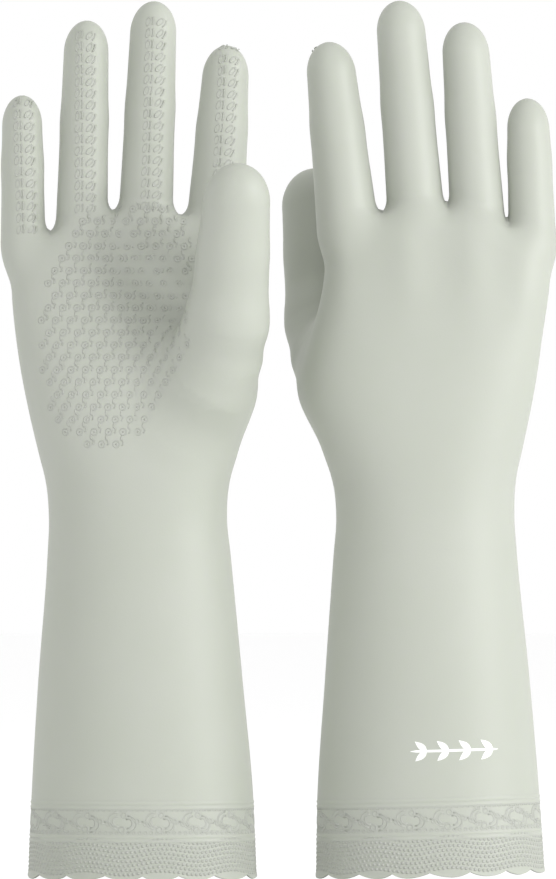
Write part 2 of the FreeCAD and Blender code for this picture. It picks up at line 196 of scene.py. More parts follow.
@dataclass(frozen=True)
class Finish:
    """What every finish shares: a name, a tint and a tree that starts from Object coordinates."""

    name: str
    tint: Colour

    def build(self) -> bpy.types.Material:
        """Make the material.

        Returns:
            The finished material.
        """
        material = bpy.data.materials.new(self.name)
        material.use_nodes = True
        material.node_tree.nodes.clear()
        maker = NodeMaker(material.node_tree)
        surface = self.surface(maker, maker.make("ShaderNodeTexCoord").outputs["Object"])
        maker.make("ShaderNodeOutputMaterial", None, {0: surface.outputs[0]})
        return material

    def surface(self, maker: NodeMaker, place: bpy.types.NodeSocket) -> bpy.types.Node:
        """Wire the surface, which each finish does in its own way."""
        raise NotImplementedError

    def noise(self, maker: NodeMaker, place: bpy.types.NodeSocket, scale: float, detail: float = 2.0,
              roughness: float = 0.5) -> Wire:
        """Soft noise with the given number of waves to the metre."""
        return maker.out(maker.make("ShaderNodeTexNoise", None, {
            "Vector": place, "Scale": scale, "Detail": detail, "Roughness": roughness}))

    def mixed(self, maker: NodeMaker, share: Wire, first: Colour, second: Colour) -> bpy.types.NodeSocket:
        """Colour between two tints."""
        return maker.make("ShaderNodeMix", {"data_type": "RGBA", "clamp_factor": True}, {
            0: share, 6: (*first, 1.0), 7: (*second, 1.0)}).outputs[2]


@dataclass(frozen=True)
class SatinFilm(Finish):
    """Soft satin PVC film, tinted right through, with a faint mottle and a fine skin texture."""

    name: str = "sage_pvc_film"
    tint: Colour = (0.427, 0.440, 0.400)
    deep_tint: Colour = (0.384, 0.406, 0.350)
    roughness: float = 0.50
    refraction: float = 1.42
    glow: float = 0.14
    glow_depth: float = 0.002
    glow_colour: Colour = (0.8, 1.0, 0.55)
    mottle_scale: float = 38.0
    cloud_scale: float = 9.0
    grain_scale: float = 1500.0
    grain_depth: float = 0.0002

    def surface(self, maker: NodeMaker, place: bpy.types.NodeSocket) -> bpy.types.Node:
        """Wire the surface.

        Args:
            maker: adds the nodes.
            place: the Object coordinates.

        Returns:
            The node whose first output is the surface.
        """
        mottle = self.noise(maker, place, self.mottle_scale, 3.0, 0.55)
        cloud = self.noise(maker, place, self.cloud_scale)
        grain = self.noise(maker, place, self.grain_scale, 2.0, 0.6)
        share = (mottle * 0.45 + cloud * 0.75) - 0.25
        colour = self.mixed(maker, share, self.deep_tint, self.tint)
        bump = maker.make("ShaderNodeBump", None, {
            "Strength": 0.10, "Distance": self.grain_depth, "Height": grain + mottle * 0.6})
        shine = (mottle - 0.5) * 0.10 + (grain - 0.5) * 0.06 + self.roughness
        return maker.make("ShaderNodeBsdfPrincipled", {"subsurface_method": "RANDOM_WALK"}, {
            "Base Color": colour, "Roughness": shine, "Normal": bump.outputs[0], "IOR": self.refraction,
            "Subsurface Weight": self.glow, "Subsurface Scale": self.glow_depth,
            "Subsurface Radius": self.glow_colour})


@dataclass(frozen=True)
class PrintInk(Finish):
    """Opaque white print that wears a little thin over the grain of the film."""

    name: str = "white_print"
    tint: Colour = (0.88, 0.89, 0.87)
    worn_tint: Colour = (0.78, 0.81, 0.76)
    roughness: float = 0.45
    wear_scale: float = 700.0
    wear_depth: float = 0.0001

    def surface(self, maker: NodeMaker, place: bpy.types.NodeSocket) -> bpy.types.Node:
        """Wire the surface.

        Args:
            maker: adds the nodes.
            place: the Object coordinates.

        Returns:
            The node whose first output is the surface.
        """
        wear = self.noise(maker, place, self.wear_scale, 3.0, 0.6)
        colour = self.mixed(maker, (wear - 0.45) * 4.0, self.tint, self.worn_tint)
        bump = maker.make("ShaderNodeBump", None, {
            "Strength": 0.15, "Distance": self.wear_depth, "Height": wear})
        return maker.make("ShaderNodeBsdfPrincipled", None, {
            "Base Color": colour, "Roughness": wear * 0.2 + self.roughness, "Normal": bump.outputs[0]})


@dataclass(frozen=True)
class StudioPaper(Finish):
    """Matte white paper of the floor."""

    name: str = "studio_paper"
    tint: Colour = (0.98, 0.98, 0.98)
    roughness: float = 0.85
    fibre_scale: float = 60.0

    def surface(self, maker: NodeMaker, place: bpy.types.NodeSocket) -> bpy.types.Node:
        """Wire the surface of one tint."""
        fibre = self.noise(maker, place, self.fibre_scale)
        return maker.make("ShaderNodeBsdfPrincipled", None, {
            "Base Color": (*self.tint, 1.0), "Roughness": fibre * 0.1 + self.roughness})


# ---------------------------------------------------------------------------------------------------------
# Meshes as arrays
# ---------------------------------------------------------------------------------------------------------


@dataclass
class Patch:
    """Points, faces and one normal for each point, in glove space."""

    points: Array
    faces: list[tuple[int, ...]]
    normals: Array

    def joined(self, other: "Patch") -> "Patch":
        """Join this patch with another.

        Args:
            other: the other patch.

        Returns:
            Both as one.
        """
        shift = len(self.points)
        moved = [tuple(corner + shift for corner in face) for face in other.faces]
        return Patch(np.vstack([self.points, other.points]), self.faces + moved,
                     np.vstack([self.normals, other.normals]))

    def shell(self, wall: float) -> "Patch":
        """Give an open patch its wall, so that it closes.

        Args:
            wall: thickness of the film.

        Returns:
            The outer faces, the inner faces and the rims that join them.
        """
        count = len(self.points)
        seen: dict[tuple[int, int], int] = {}
        for face in self.faces:
            for start, end in zip(face, face[1:] + face[:1]):
                seen[(start, end)] = 1
        rims = [(end, start) for start, end in seen if (end, start) not in seen]
        inner = [tuple(corner + count for corner in reversed(face)) for face in self.faces]
        rim_faces = [(start, end, end + count, start + count) for start, end in rims]
        points = np.vstack([self.points, self.points - self.normals * wall])
        return Patch(points, self.faces + inner + rim_faces, np.vstack([self.normals, -self.normals]))


def hermite(at: Array, knots: Sequence[float], values: Sequence[float]) -> Array:
    """Smooth curve through the values at the knots, flat slopes beyond the ends.

    Args:
        at: where to read the curve.
        knots: rising places of the values.
        values: the values.

    Returns:
        The curve at each place.
    """
    place = np.asarray(knots, float)
    value = np.asarray(values, float)
    slope = np.gradient(value, place)
    here = np.clip(at, place[0], place[-1])
    index = np.clip(np.searchsorted(place, here, side="right") - 1, 0, len(place) - 2)
    span = place[index + 1] - place[index]
    t = (here - place[index]) / span
    low, high = value[index], value[index + 1]
    low_slope, high_slope = slope[index] * span, slope[index + 1] * span
    return ((2 * t ** 3 - 3 * t ** 2 + 1) * low + (t ** 3 - 2 * t ** 2 + t) * low_slope
            + (3 * t ** 2 - 2 * t ** 3) * high + (t ** 3 - t ** 2) * high_slope)


def smooth_min(first: Array, second: Array, reach: float) -> Array:
    """Union of two distance fields with a fillet of the given reach."""
    near = np.maximum(reach - np.abs(first - second), 0.0) / reach
    return np.minimum(first, second) - near * near * reach * 0.25


def smooth_max(first: Array, second: Array, reach: float) -> Array:
    """Overlap of two distance fields with a rounded edge of the given reach."""
    return -smooth_min(-first, -second, reach)


def bell(distance: Array) -> Array:
    """Rounded bump of height one."""
    return np.exp(-distance * distance)


def ease(value: Array, low: float, high: float) -> Array:
    """Smooth rise from nothing at the low value to one at the high value."""
    share = np.clip((value - low) / (high - low), 0.0, 1.0)
    return share * share * (3.0 - 2.0 * share)


# ---------------------------------------------------------------------------------------------------------
# The form of a glove
# ---------------------------------------------------------------------------------------------------------


@dataclass(frozen=True)
class Section:
    """One section across the sleeve or hand: height, centre, half width, half depth and squareness."""

    z: float
    x: float
    y: float
    half_width: float
    half_depth: float
    squareness: float


@dataclass(frozen=True)
class Arm:
    """Sleeve, wrist and hand as one tube round the arm."""

    sections: tuple[Section, ...] = (
        Section(0.0, 0.0, 0.0, 41.7, 30.0, 2.0),
        Section(29.0, 0.0, 0.0, 40.6, 29.0, 2.0),
        Section(72.0, -0.7, 0.0, 37.4, 26.8, 2.0),
        Section(118.0, -1.2, 0.0, 33.5, 24.2, 2.05),
        Section(131.0, -1.6, 0.0, 32.6, 23.4, 2.1),
        Section(144.0, -1.7, -0.1, 33.5, 23.4, 2.2),
        Section(156.0, -1.5, -0.3, 36.6, 23.6, 2.3),
        Section(170.0, -1.1, -0.3, 40.3, 22.9, 2.4),
        Section(184.0, -2.3, 0.2, 41.9, 21.2, 2.5),
        Section(198.0, -4.6, 1.0, 41.7, 18.4, 2.6),
        Section(212.0, -6.3, 1.2, 41.4, 16.2, 2.7),
        Section(226.0, -6.7, 0.8, 41.3, 13.8, 2.7),
        Section(244.0, -7.7, 0.2, 43.1, 11.0, 2.7),
    )
    webs: tuple[tuple[float, float], ...] = (
        (-56.0, 229.0), (-44.0, 233.0), (-32.0, 235.6), (-21.0, 240.0), (-9.3, 243.2), (3.0, 243.5),
        (15.9, 241.2), (29.0, 238.5), (45.0, 232.0))
    web_round: float = 9.0
    web_steepness: float = 0.95
    hollow_depth: float = 8.5
    hollow_at: tuple[float, float] = (8.0, 215.5)
    hollow_spread: tuple[float, float] = (27.0, 15.0)
    hollow_turn: float = -0.63
    knuckle_height: float = 1.2
    knuckle_spread: tuple[float, float] = (7.0, 22.0)
    knuckle_below: float = 0.6
    swell: float = 0.0
    swell_at: tuple[float, float] = (188.0, 23.0)
    side: float = 0.0
    side_z: tuple[float, float] = (190.0, 236.0)

    @staticmethod
    def along(z: Array, heights: Sequence[float], values: Sequence[float]) -> Array:
        """One measure at each height: straight over the hem band and smooth above it.

        Args:
            z: the heights to read it at.
            heights: heights of the sections, the first two being those of the hem band.
            values: the measure at each section.

        Returns:
            The measure at each height.
        """
        return np.where(z < heights[1], np.interp(z, heights[:2], values[:2]), hermite(z, heights, values))

    def measures(self, z: Array) -> tuple[Array, Array, Array, Array, Array]:
        """Work out the tube's section at each height.

        Args:
            z: the heights.

        Returns:
            The centre across and in depth, the half width, the half depth and the squareness.
        """
        heights = [section.z for section in self.sections]
        x, *others = (self.along(z, heights, [getattr(section, name) for section in self.sections])
                      for name in ("x", "y", "half_width", "half_depth", "squareness"))
        return x + self.side * ease(z, *self.side_z), *others

    def radius(self, angle: Array, z: Array) -> Array:
        """Find how far the film is from the centre line.

        Args:
            angle: angles round the arm.
            z: height for each angle.

        Returns:
            The distance for each angle.
        """
        _, _, half_width, half_depth, squareness = self.measures(z)
        across = np.abs(np.cos(angle) / half_width) ** squareness
        deep = np.abs(np.sin(angle) / half_depth) ** squareness
        return (across + deep) ** (-1.0 / squareness)

    def tube(self, points: Array, knuckles: Sequence[Array]) -> Array:
        """Distance to the tube, with the hollow of the palm and the knuckles at the back.

        Args:
            points: points of glove space.
            knuckles: root of each finger.

        Returns:
            The distance of each point, negative inside.
        """
        x, y, z = points.T
        centre_x, centre_y, half_width, half_depth, squareness = self.measures(z)
        off_x, off_z = x - self.hollow_at[0], z - self.hollow_at[1]
        cosine, sine = math.cos(self.hollow_turn), math.sin(self.hollow_turn)
        palm = self.hollow_depth * bell(np.hypot((off_x * cosine + off_z * sine) / self.hollow_spread[0],
                                                 (off_z * cosine - off_x * sine) / self.hollow_spread[1]))
        back = sum(self.knuckle_height * bell(np.hypot(
            (x - knuckle[0]) / self.knuckle_spread[0],
            (z - knuckle[2]) / self.knuckle_spread[1] + self.knuckle_below)) for knuckle in knuckles)
        deep = np.where(y < centre_y, half_depth - palm, half_depth + back)
        off_x, off_y = x - centre_x, y - centre_y
        half_width = half_width + np.where(off_x > 0, self.swell, 0.0) * bell(
            (z - self.swell_at[0]) / self.swell_at[1])
        ratio = ((np.abs(off_x) / half_width) ** squareness + (np.abs(off_y) / deep) ** squareness
                 ) ** (1.0 / squareness)
        return np.maximum(np.hypot(off_x, off_y), TINY) * (1.0 - 1.0 / np.maximum(ratio, TINY))

    def distance(self, points: Array, knuckles: Sequence[Array]) -> Array:
        """Distance to the hand, closed along the line of the webs.

        Args:
            points: points of glove space.
            knuckles: root of each finger.

        Returns:
            The distance of each point, negative inside.
        """
        line_x, line_z = zip(*self.webs)
        top = (points[:, 2] - hermite(points[:, 0] - self.side, line_x, line_z)) * self.web_steepness
        return smooth_max(self.tube(points, knuckles), top, self.web_round)


@dataclass(frozen=True)
class DigitSize:
    """Sizes of one stall, measured along and across it from its root."""

    start_width: float
    end_width: float
    roundness: float
    root_fold: float
    length: float
    cap: float
    fillet: float = 6.0
    bow: float = 1.6
    foot: float = 15.0
    flare: float = 0.8
    joint_height: float = 0.30
    joint_spread: float = 6.0


DIGIT_SIZES: dict[str, DigitSize] = {
    "index": DigitSize(20.3, 17.0, 0.98, 14.0, 65.0, 12.0),
    "middle": DigitSize(19.2, 16.9, 0.98, 14.0, 78.0, 12.0),
    "ring": DigitSize(18.4, 16.4, 0.98, 14.0, 74.6, 12.0),
    "little": DigitSize(15.9, 14.7, 0.98, 12.0, 52.2, 11.5),
    "thumb": DigitSize(28.0, 24.4, 0.86, 12.0, 60.1, 15.0, bow=0.8, foot=12.0),
}


@dataclass(frozen=True)
class Lie:
    """How a stall lies beside its hinge line: sideways at its root and at its tip, and its extra reach."""

    root_side: float = 0.0
    tip_side: float = 0.0
    reach: float = 0.0


LIES: dict[View, dict[str, Lie]] = {
    View.PALM: {"index": Lie(-1.1, -0.2, 0.5), "middle": Lie(-1.4, -0.3, 0.4), "ring": Lie(-0.9, 1.1, 0.2),
                "little": Lie(-1.0, 0.1, 0.7), "thumb": Lie()},
    View.BACK: {"index": Lie(-3.8, -2.0, 1.8), "middle": Lie(-3.7, -1.6, 0.0), "ring": Lie(-2.3, 0.8, -1.6),
                "little": Lie(-0.8, 1.0, -2.4), "thumb": Lie(0.5, 0.3)},
}
WEB_SIDE = {View.PALM: 0.0, View.BACK: -2.6}
THUMB_SWELL = {View.PALM: 0.0, View.BACK: 1.9}


@dataclass
class Digit:
    """One stall, placed by the two hinges of its digit."""

    name: str
    size: DigitSize
    root: Array
    turn: Array
    knuckle: float
    fullness: float
    lie: Lie

    @property
    def along(self) -> Array:
        """Direction of the stall, root to tip."""
        return self.turn[:, 2]

    def local(self, points: Array) -> Array:
        """Points of glove space in the frame of the stall."""
        return (points - self.root) @ self.turn

    def at(self, w: float) -> Array:
        """Point of glove space on the centre line."""
        return self.root + self.along * w

    def distance(self, points: Array) -> Array:
        """Distance to the stall, a tapered tube with a rounded end.

        Args:
            points: points of glove space.

        Returns:
            The distance of each point, negative inside.
        """
        size = self.size
        u, v, w = self.local(points).T
        length = size.length + self.lie.reach
        cap_at = length - size.cap
        run = np.clip(w / length, 0.0, 1.0)
        u = u - self.lie.root_side - (self.lie.tip_side - self.lie.root_side) * run
        v = v + size.bow * run ** 2
        share = np.clip((w - size.root_fold) / (cap_at - size.root_fold), -size.flare, 1.0)
        half_width = (size.start_width + (size.end_width - size.start_width) * share) * 0.5 * self.fullness
        half_width = half_width + size.joint_height * bell((w - self.knuckle) / size.joint_spread)
        half_depth = half_width * size.roundness
        past = np.maximum(w - cap_at, 0.0)
        short = np.maximum(-w, 0.0)
        round_end = (past / size.cap) ** 2 + (short / size.foot) ** 2
        ratio = np.sqrt((u / half_width) ** 2 + (v / half_depth) ** 2 + round_end)
        reach = np.sqrt(u * u + v * v + past * past + short * short)
        return np.maximum(reach, TINY) * (1.0 - 1.0 / np.maximum(ratio, TINY))


@dataclass(frozen=True)
class ThumbBase:
    """Mound of the thumb, a chain of balls from the heel of the hand to the root of the thumb."""

    balls: tuple[tuple[float, float, float, float], ...] = (
        (11.0, -7.0, 166.0, 14.0), (22.6, -13.4, 182.0, 18.2), (27.3, -19.5, 192.0, 16.1),
        (30.4, -27.0, 204.0, 13.5))
    side: float = 0.0
    ball_fillet: float = 4.0
    palm_fillet: float = 10.0
    gap_fillet: float = 3.5
    gap_z: tuple[float, float] = (200.0, 219.0)
    thumb_fillet: float = 6.0

    def fillet(self, z: Array) -> Array:
        """Reach of the fillet to the palm, which tightens where the thumb stands away from it."""
        return self.palm_fillet + (self.gap_fillet - self.palm_fillet) * ease(z, *self.gap_z)

    def distance(self, points: Array) -> Array:
        """Distance to the mound.

        Args:
            points: points of glove space.

        Returns:
            The distance of each point, negative inside.
        """
        best = np.full(len(points), FAR)
        shift = np.array([self.side, 0.0, 0.0])
        for first, last in zip(self.balls, self.balls[1:]):
            start, end = np.array(first[:3]) + shift, np.array(last[:3]) + shift
            run = end - start
            share = np.clip(((points - start) @ run) / (run @ run), 0.0, 1.0)
            gap = np.linalg.norm(points - start - share[:, None] * run, axis=1)
            best = smooth_min(best, gap - (first[3] + share * (last[3] - first[3])), self.ball_fillet)
        return best


@dataclass
class GloveForm:
    """Whole outer form of one glove as a distance field."""

    digits: dict[str, Digit]
    arm: Arm = field(default_factory=Arm)
    thumb_base: ThumbBase = field(default_factory=ThumbBase)
    finger_fillet: float = 0.6
    slope_step: float = 0.06

    def distance(self, points: Array) -> Array:
        """Distance from each point to the film.

        Args:
            points: points of glove space.

        Returns:
            The distance of each point, negative inside.
        """
        fingers = [digit for name, digit in self.digits.items() if name != "thumb"]
        hand = self.arm.distance(points, [digit.root for digit in fingers])
        stalls = np.full(len(points), FAR)
        for digit in fingers:
            stalls = smooth_min(stalls, digit.distance(points), self.finger_fillet)
        hand = smooth_min(hand, stalls, fingers[0].size.fillet)
        base = self.thumb_base
        thumb = smooth_min(base.distance(points), self.digits["thumb"].distance(points), base.thumb_fillet)
        return smooth_min(hand, thumb, base.fillet(points[:, 2]))

    def slope(self, points: Array) -> Array:
        """Unit outward direction of the field at each point."""
        rise = np.stack([self.distance(points + axis) - self.distance(points - axis)
                         for axis in np.eye(3) * self.slope_step], axis=1)
        return rise / np.maximum(np.linalg.norm(rise, axis=1, keepdims=True), 1e-9)

    def settle(self, points: Array, rounds: int = 3) -> Array:
        """Bring points onto the film.

        Args:
            points: points of glove space, near the film.
            rounds: number of steps.

        Returns:
            The moved points.
        """
        for _ in range(rounds):
            points = points - self.slope(points) * self.distance(points)[:, None]
        return points


def edge_ends(values: Array, axis: int, across: slice) -> tuple[Array, Array]:
    """Read the field at both ends of each grid edge along an axis.

    Args:
        values: the field at the grid's corners.
        axis: number of the axis.
        across: the part of the grid to read on the other two axes.

    Returns:
        The values at the low ends and at the high ends.
    """
    near, far = [across] * 3, [across] * 3
    near[axis], far[axis] = slice(0, -1), slice(1, None)
    return values[tuple(near)], values[tuple(far)]


def cell_points(values: Array, corners: Array, step: float) -> tuple[Array, Array]:
    """Place one point in each grid cell that the zero surface passes through.

    Args:
        values: the field at the grid's corners.
        corners: low corner of each cell.
        step: size of a cell.

    Returns:
        The points, and for each cell the number of its point or -1.
    """
    cells = corners.shape[:3]
    total = np.zeros(corners.shape)
    count = np.zeros(cells)
    for axis in range(3):
        start, end = edge_ends(values, axis, slice(None))
        crossing = (start < 0) != (end < 0)
        share = np.where(crossing, start / np.where(crossing, start - end, 1.0), 0.0)
        one, two = [other for other in range(3) if other != axis]
        for first, second in ((0, 0), (0, 1), (1, 0), (1, 1)):
            pick = [slice(None)] * 3
            pick[one] = slice(first, cells[one] + first)
            pick[two] = slice(second, cells[two] + second)
            hit = crossing[tuple(pick)]
            count += hit
            total[..., axis] += share[tuple(pick)] * hit
            total[..., one] += first * hit
            total[..., two] += second * hit
    active = count > 0
    number = np.full(cells, -1)
    number[active] = np.arange(active.sum())
    return corners[active] + total[active] / count[active][:, None] * step, number


def net_faces(values: Array, number: Array) -> list[tuple[int, ...]]:
    """Join the points of the four cells round each grid edge that the surface crosses.

    Args:
        values: the field at the grid's corners.
        number: for each cell the number of its point or -1.

    Returns:
        The squares, which face outwards.
    """
    faces: list[tuple[int, ...]] = []
    for axis in range(3):
        start, end = edge_ends(values, axis, slice(1, -1))
        places = np.argwhere((start < 0) != (end < 0))
        rising = start[tuple(places.T)] < 0
        places = places + [0 if other == axis else 1 for other in range(3)]
        one, two = [other for other in range(3) if other != axis]
        ring = []
        for back in ((1, 1), (0, 1), (0, 0), (1, 0)):
            cell = places.copy()
            cell[:, one] -= back[0]
            cell[:, two] -= back[1]
            ring.append(number[tuple(cell.T)])
        quads = np.stack(ring, axis=1)
        flip = rising if axis != 1 else ~rising
        quads = np.where(flip[:, None], quads, quads[:, ::-1])
        faces += [tuple(quad) for quad in quads.tolist() if min(quad) >= 0]
    return faces


def surface_net(form: GloveForm, low: Sequence[float], high: Sequence[float], step: float) -> Patch:
    """Mesh of squares on the zero surface of the form.

    Args:
        form: the distance field.
        low: lowest corner of the grid.
        high: highest corner of the grid.
        step: size of a grid cell.

    Returns:
        The mesh, with its points near the surface and its normals still empty.
    """
    axes = [np.arange(start, end + step, step) for start, end in zip(low, high)]
    shape = tuple(len(axis) for axis in axes)
    grid = np.stack(np.meshgrid(*axes, indexing="ij"), axis=-1)
    parts = np.array_split(grid.reshape(-1, 3), GRID_PARTS)
    values = np.concatenate([form.distance(part) for part in parts]).reshape(shape)
    points, number = cell_points(values, grid[:-1, :-1, :-1], step)
    return Patch(points, net_faces(values, number), np.zeros_like(points))


def relax(form: GloveForm, patch: Patch, rounds: int) -> Patch:
    """Even out a mesh along the film and bring it back onto the film.

    Args:
        form: the distance field.
        patch: the mesh.
        rounds: number of times that each point moves towards its neighbours.

    Returns:
        The mesh, with its points on the film and its normals filled in.
    """
    links = np.array([pair for face in patch.faces for pair in zip(face, face[1:] + face[:1])])
    points = patch.points
    for _ in range(rounds):
        total = np.zeros_like(points)
        count = np.zeros(len(points))
        for start, end in ((0, 1), (1, 0)):
            for axis in range(3):
                total[:, axis] += np.bincount(links[:, start], points[links[:, end], axis], len(points))
            count += np.bincount(links[:, start], minlength=len(points))
        average = total / np.maximum(count, 1)[:, None]
        points = form.settle(points + (average - points) * 0.6, 1)
    points = form.settle(points)
    return Patch(points, patch.faces, form.slope(points))


# ---------------------------------------------------------------------------------------------------------
# Raised patterns
# ---------------------------------------------------------------------------------------------------------


class GeometryTree:
    """Helper that builds one Geometry Nodes tree with named inputs."""

    def __init__(self, name: str, inputs: Iterable[tuple[str, str]]) -> None:
        """Open a tree.

        Args:
            name: name of the tree.
            inputs: name and socket type of each input after the geometry.
        """
        self.group = bpy.data.node_groups.new(name, "GeometryNodeTree")
        face = self.group.interface
        face.new_socket("Geometry", in_out="INPUT", socket_type="NodeSocketGeometry")
        for label, kind in inputs:
            face.new_socket(label, in_out="INPUT", socket_type=kind)
        face.new_socket("Geometry", in_out="OUTPUT", socket_type="NodeSocketGeometry")
        self.maker = NodeMaker(self.group)
        self.inlet = self.maker.make("NodeGroupInput")

    def value(self, name: str) -> Wire:
        """Wire from a named input."""
        return Wire(self.maker, self.inlet.outputs[name])

    def close(self, geometry: bpy.types.NodeSocket) -> bpy.types.NodeTree:
        """End the tree in Realize Instances and Set Material.

        Args:
            geometry: what the tree has made.

        Returns:
            The finished tree.
        """
        real = self.maker.make("GeometryNodeRealizeInstances", None, {"Geometry": geometry})
        dressed = self.maker.make("GeometryNodeSetMaterial", None, {
            "Geometry": real.outputs[0], "Material": self.inlet.outputs["Film"]})
        self.maker.make("NodeGroupOutput", None, {"Geometry": dressed.outputs[0]})
        return self.group

    def vector(self, x: Wire | float, y: Wire | float, z: Wire | float) -> bpy.types.NodeSocket:
        """Vector socket made of three values."""
        return self.maker.make("ShaderNodeCombineXYZ", None, {0: x, 1: y, 2: z}).outputs[0]

    def parts(self, vector: bpy.types.NodeSocket) -> tuple[Wire, Wire, Wire]:
        """X, Y and Z of a vector socket."""
        split = self.maker.make("ShaderNodeSeparateXYZ", None, {0: vector})
        return tuple(self.maker.out(split, axis) for axis in range(3))

    def stored(self, geometry: bpy.types.NodeSocket, name: str, kind: str,
               value: object) -> bpy.types.NodeSocket:
        """Geometry that keeps a value on its points."""
        return self.maker.make("GeometryNodeStoreNamedAttribute", {"data_type": kind}, {
            "Geometry": geometry, "Name": name, "Value": value}).outputs[0]

    def read(self, name: str, kind: str) -> Wire:
        """Value that the points keep."""
        return self.maker.out(self.maker.make("GeometryNodeInputNamedAttribute", {"data_type": kind}, {
            "Name": name}))

    def swept(self, curve: bpy.types.NodeSocket, ridge: Wire) -> bpy.types.NodeSocket:
        """Round ridge that follows a curve."""
        return self.maker.make("GeometryNodeCurveToMesh", None, {
            "Curve": curve, "Profile Curve": self.ring(ridge, 5), "Fill Caps": True}).outputs[0]

    def moved(self, geometry: bpy.types.NodeSocket, offset: object = (0, 0, 0), turn: object = (0, 0, 0),
              scale: object = (1, 1, 1)) -> bpy.types.NodeSocket:
        """Move, turn and scale a geometry.

        Args:
            geometry: the geometry.
            offset: how far it moves.
            turn: its turn round each axis.
            scale: its size along each axis.

        Returns:
            The moved geometry.
        """
        return self.maker.make("GeometryNodeTransform", None, {
            "Geometry": geometry, "Translation": offset, "Rotation": turn, "Scale": scale}).outputs[0]

    def joined(self, *parts: bpy.types.NodeSocket) -> bpy.types.NodeSocket:
        """Join several geometries.

        Args:
            parts: the geometries.

        Returns:
            All of them as one.
        """
        join = self.maker.make("GeometryNodeJoinGeometry")
        for part in parts:
            self.group.links.new(part, join.inputs[0])
        return join.outputs[0]

    def arc(self, radius: Wire | float, start: float, sweep: float, steps: int) -> bpy.types.NodeSocket:
        """Open arc in the XY plane."""
        return self.maker.make("GeometryNodeCurveArc", {"mode": "RADIUS"}, {
            "Resolution": steps, "Radius": radius, "Start Angle": start, "Sweep Angle": sweep}).outputs[0]

    def ring(self, radius: Wire | float, steps: int) -> bpy.types.NodeSocket:
        """Closed circle in the XY plane."""
        return self.maker.make("GeometryNodeCurvePrimitiveCircle", None, {
            "Resolution": steps, "Radius": radius}).outputs[0]


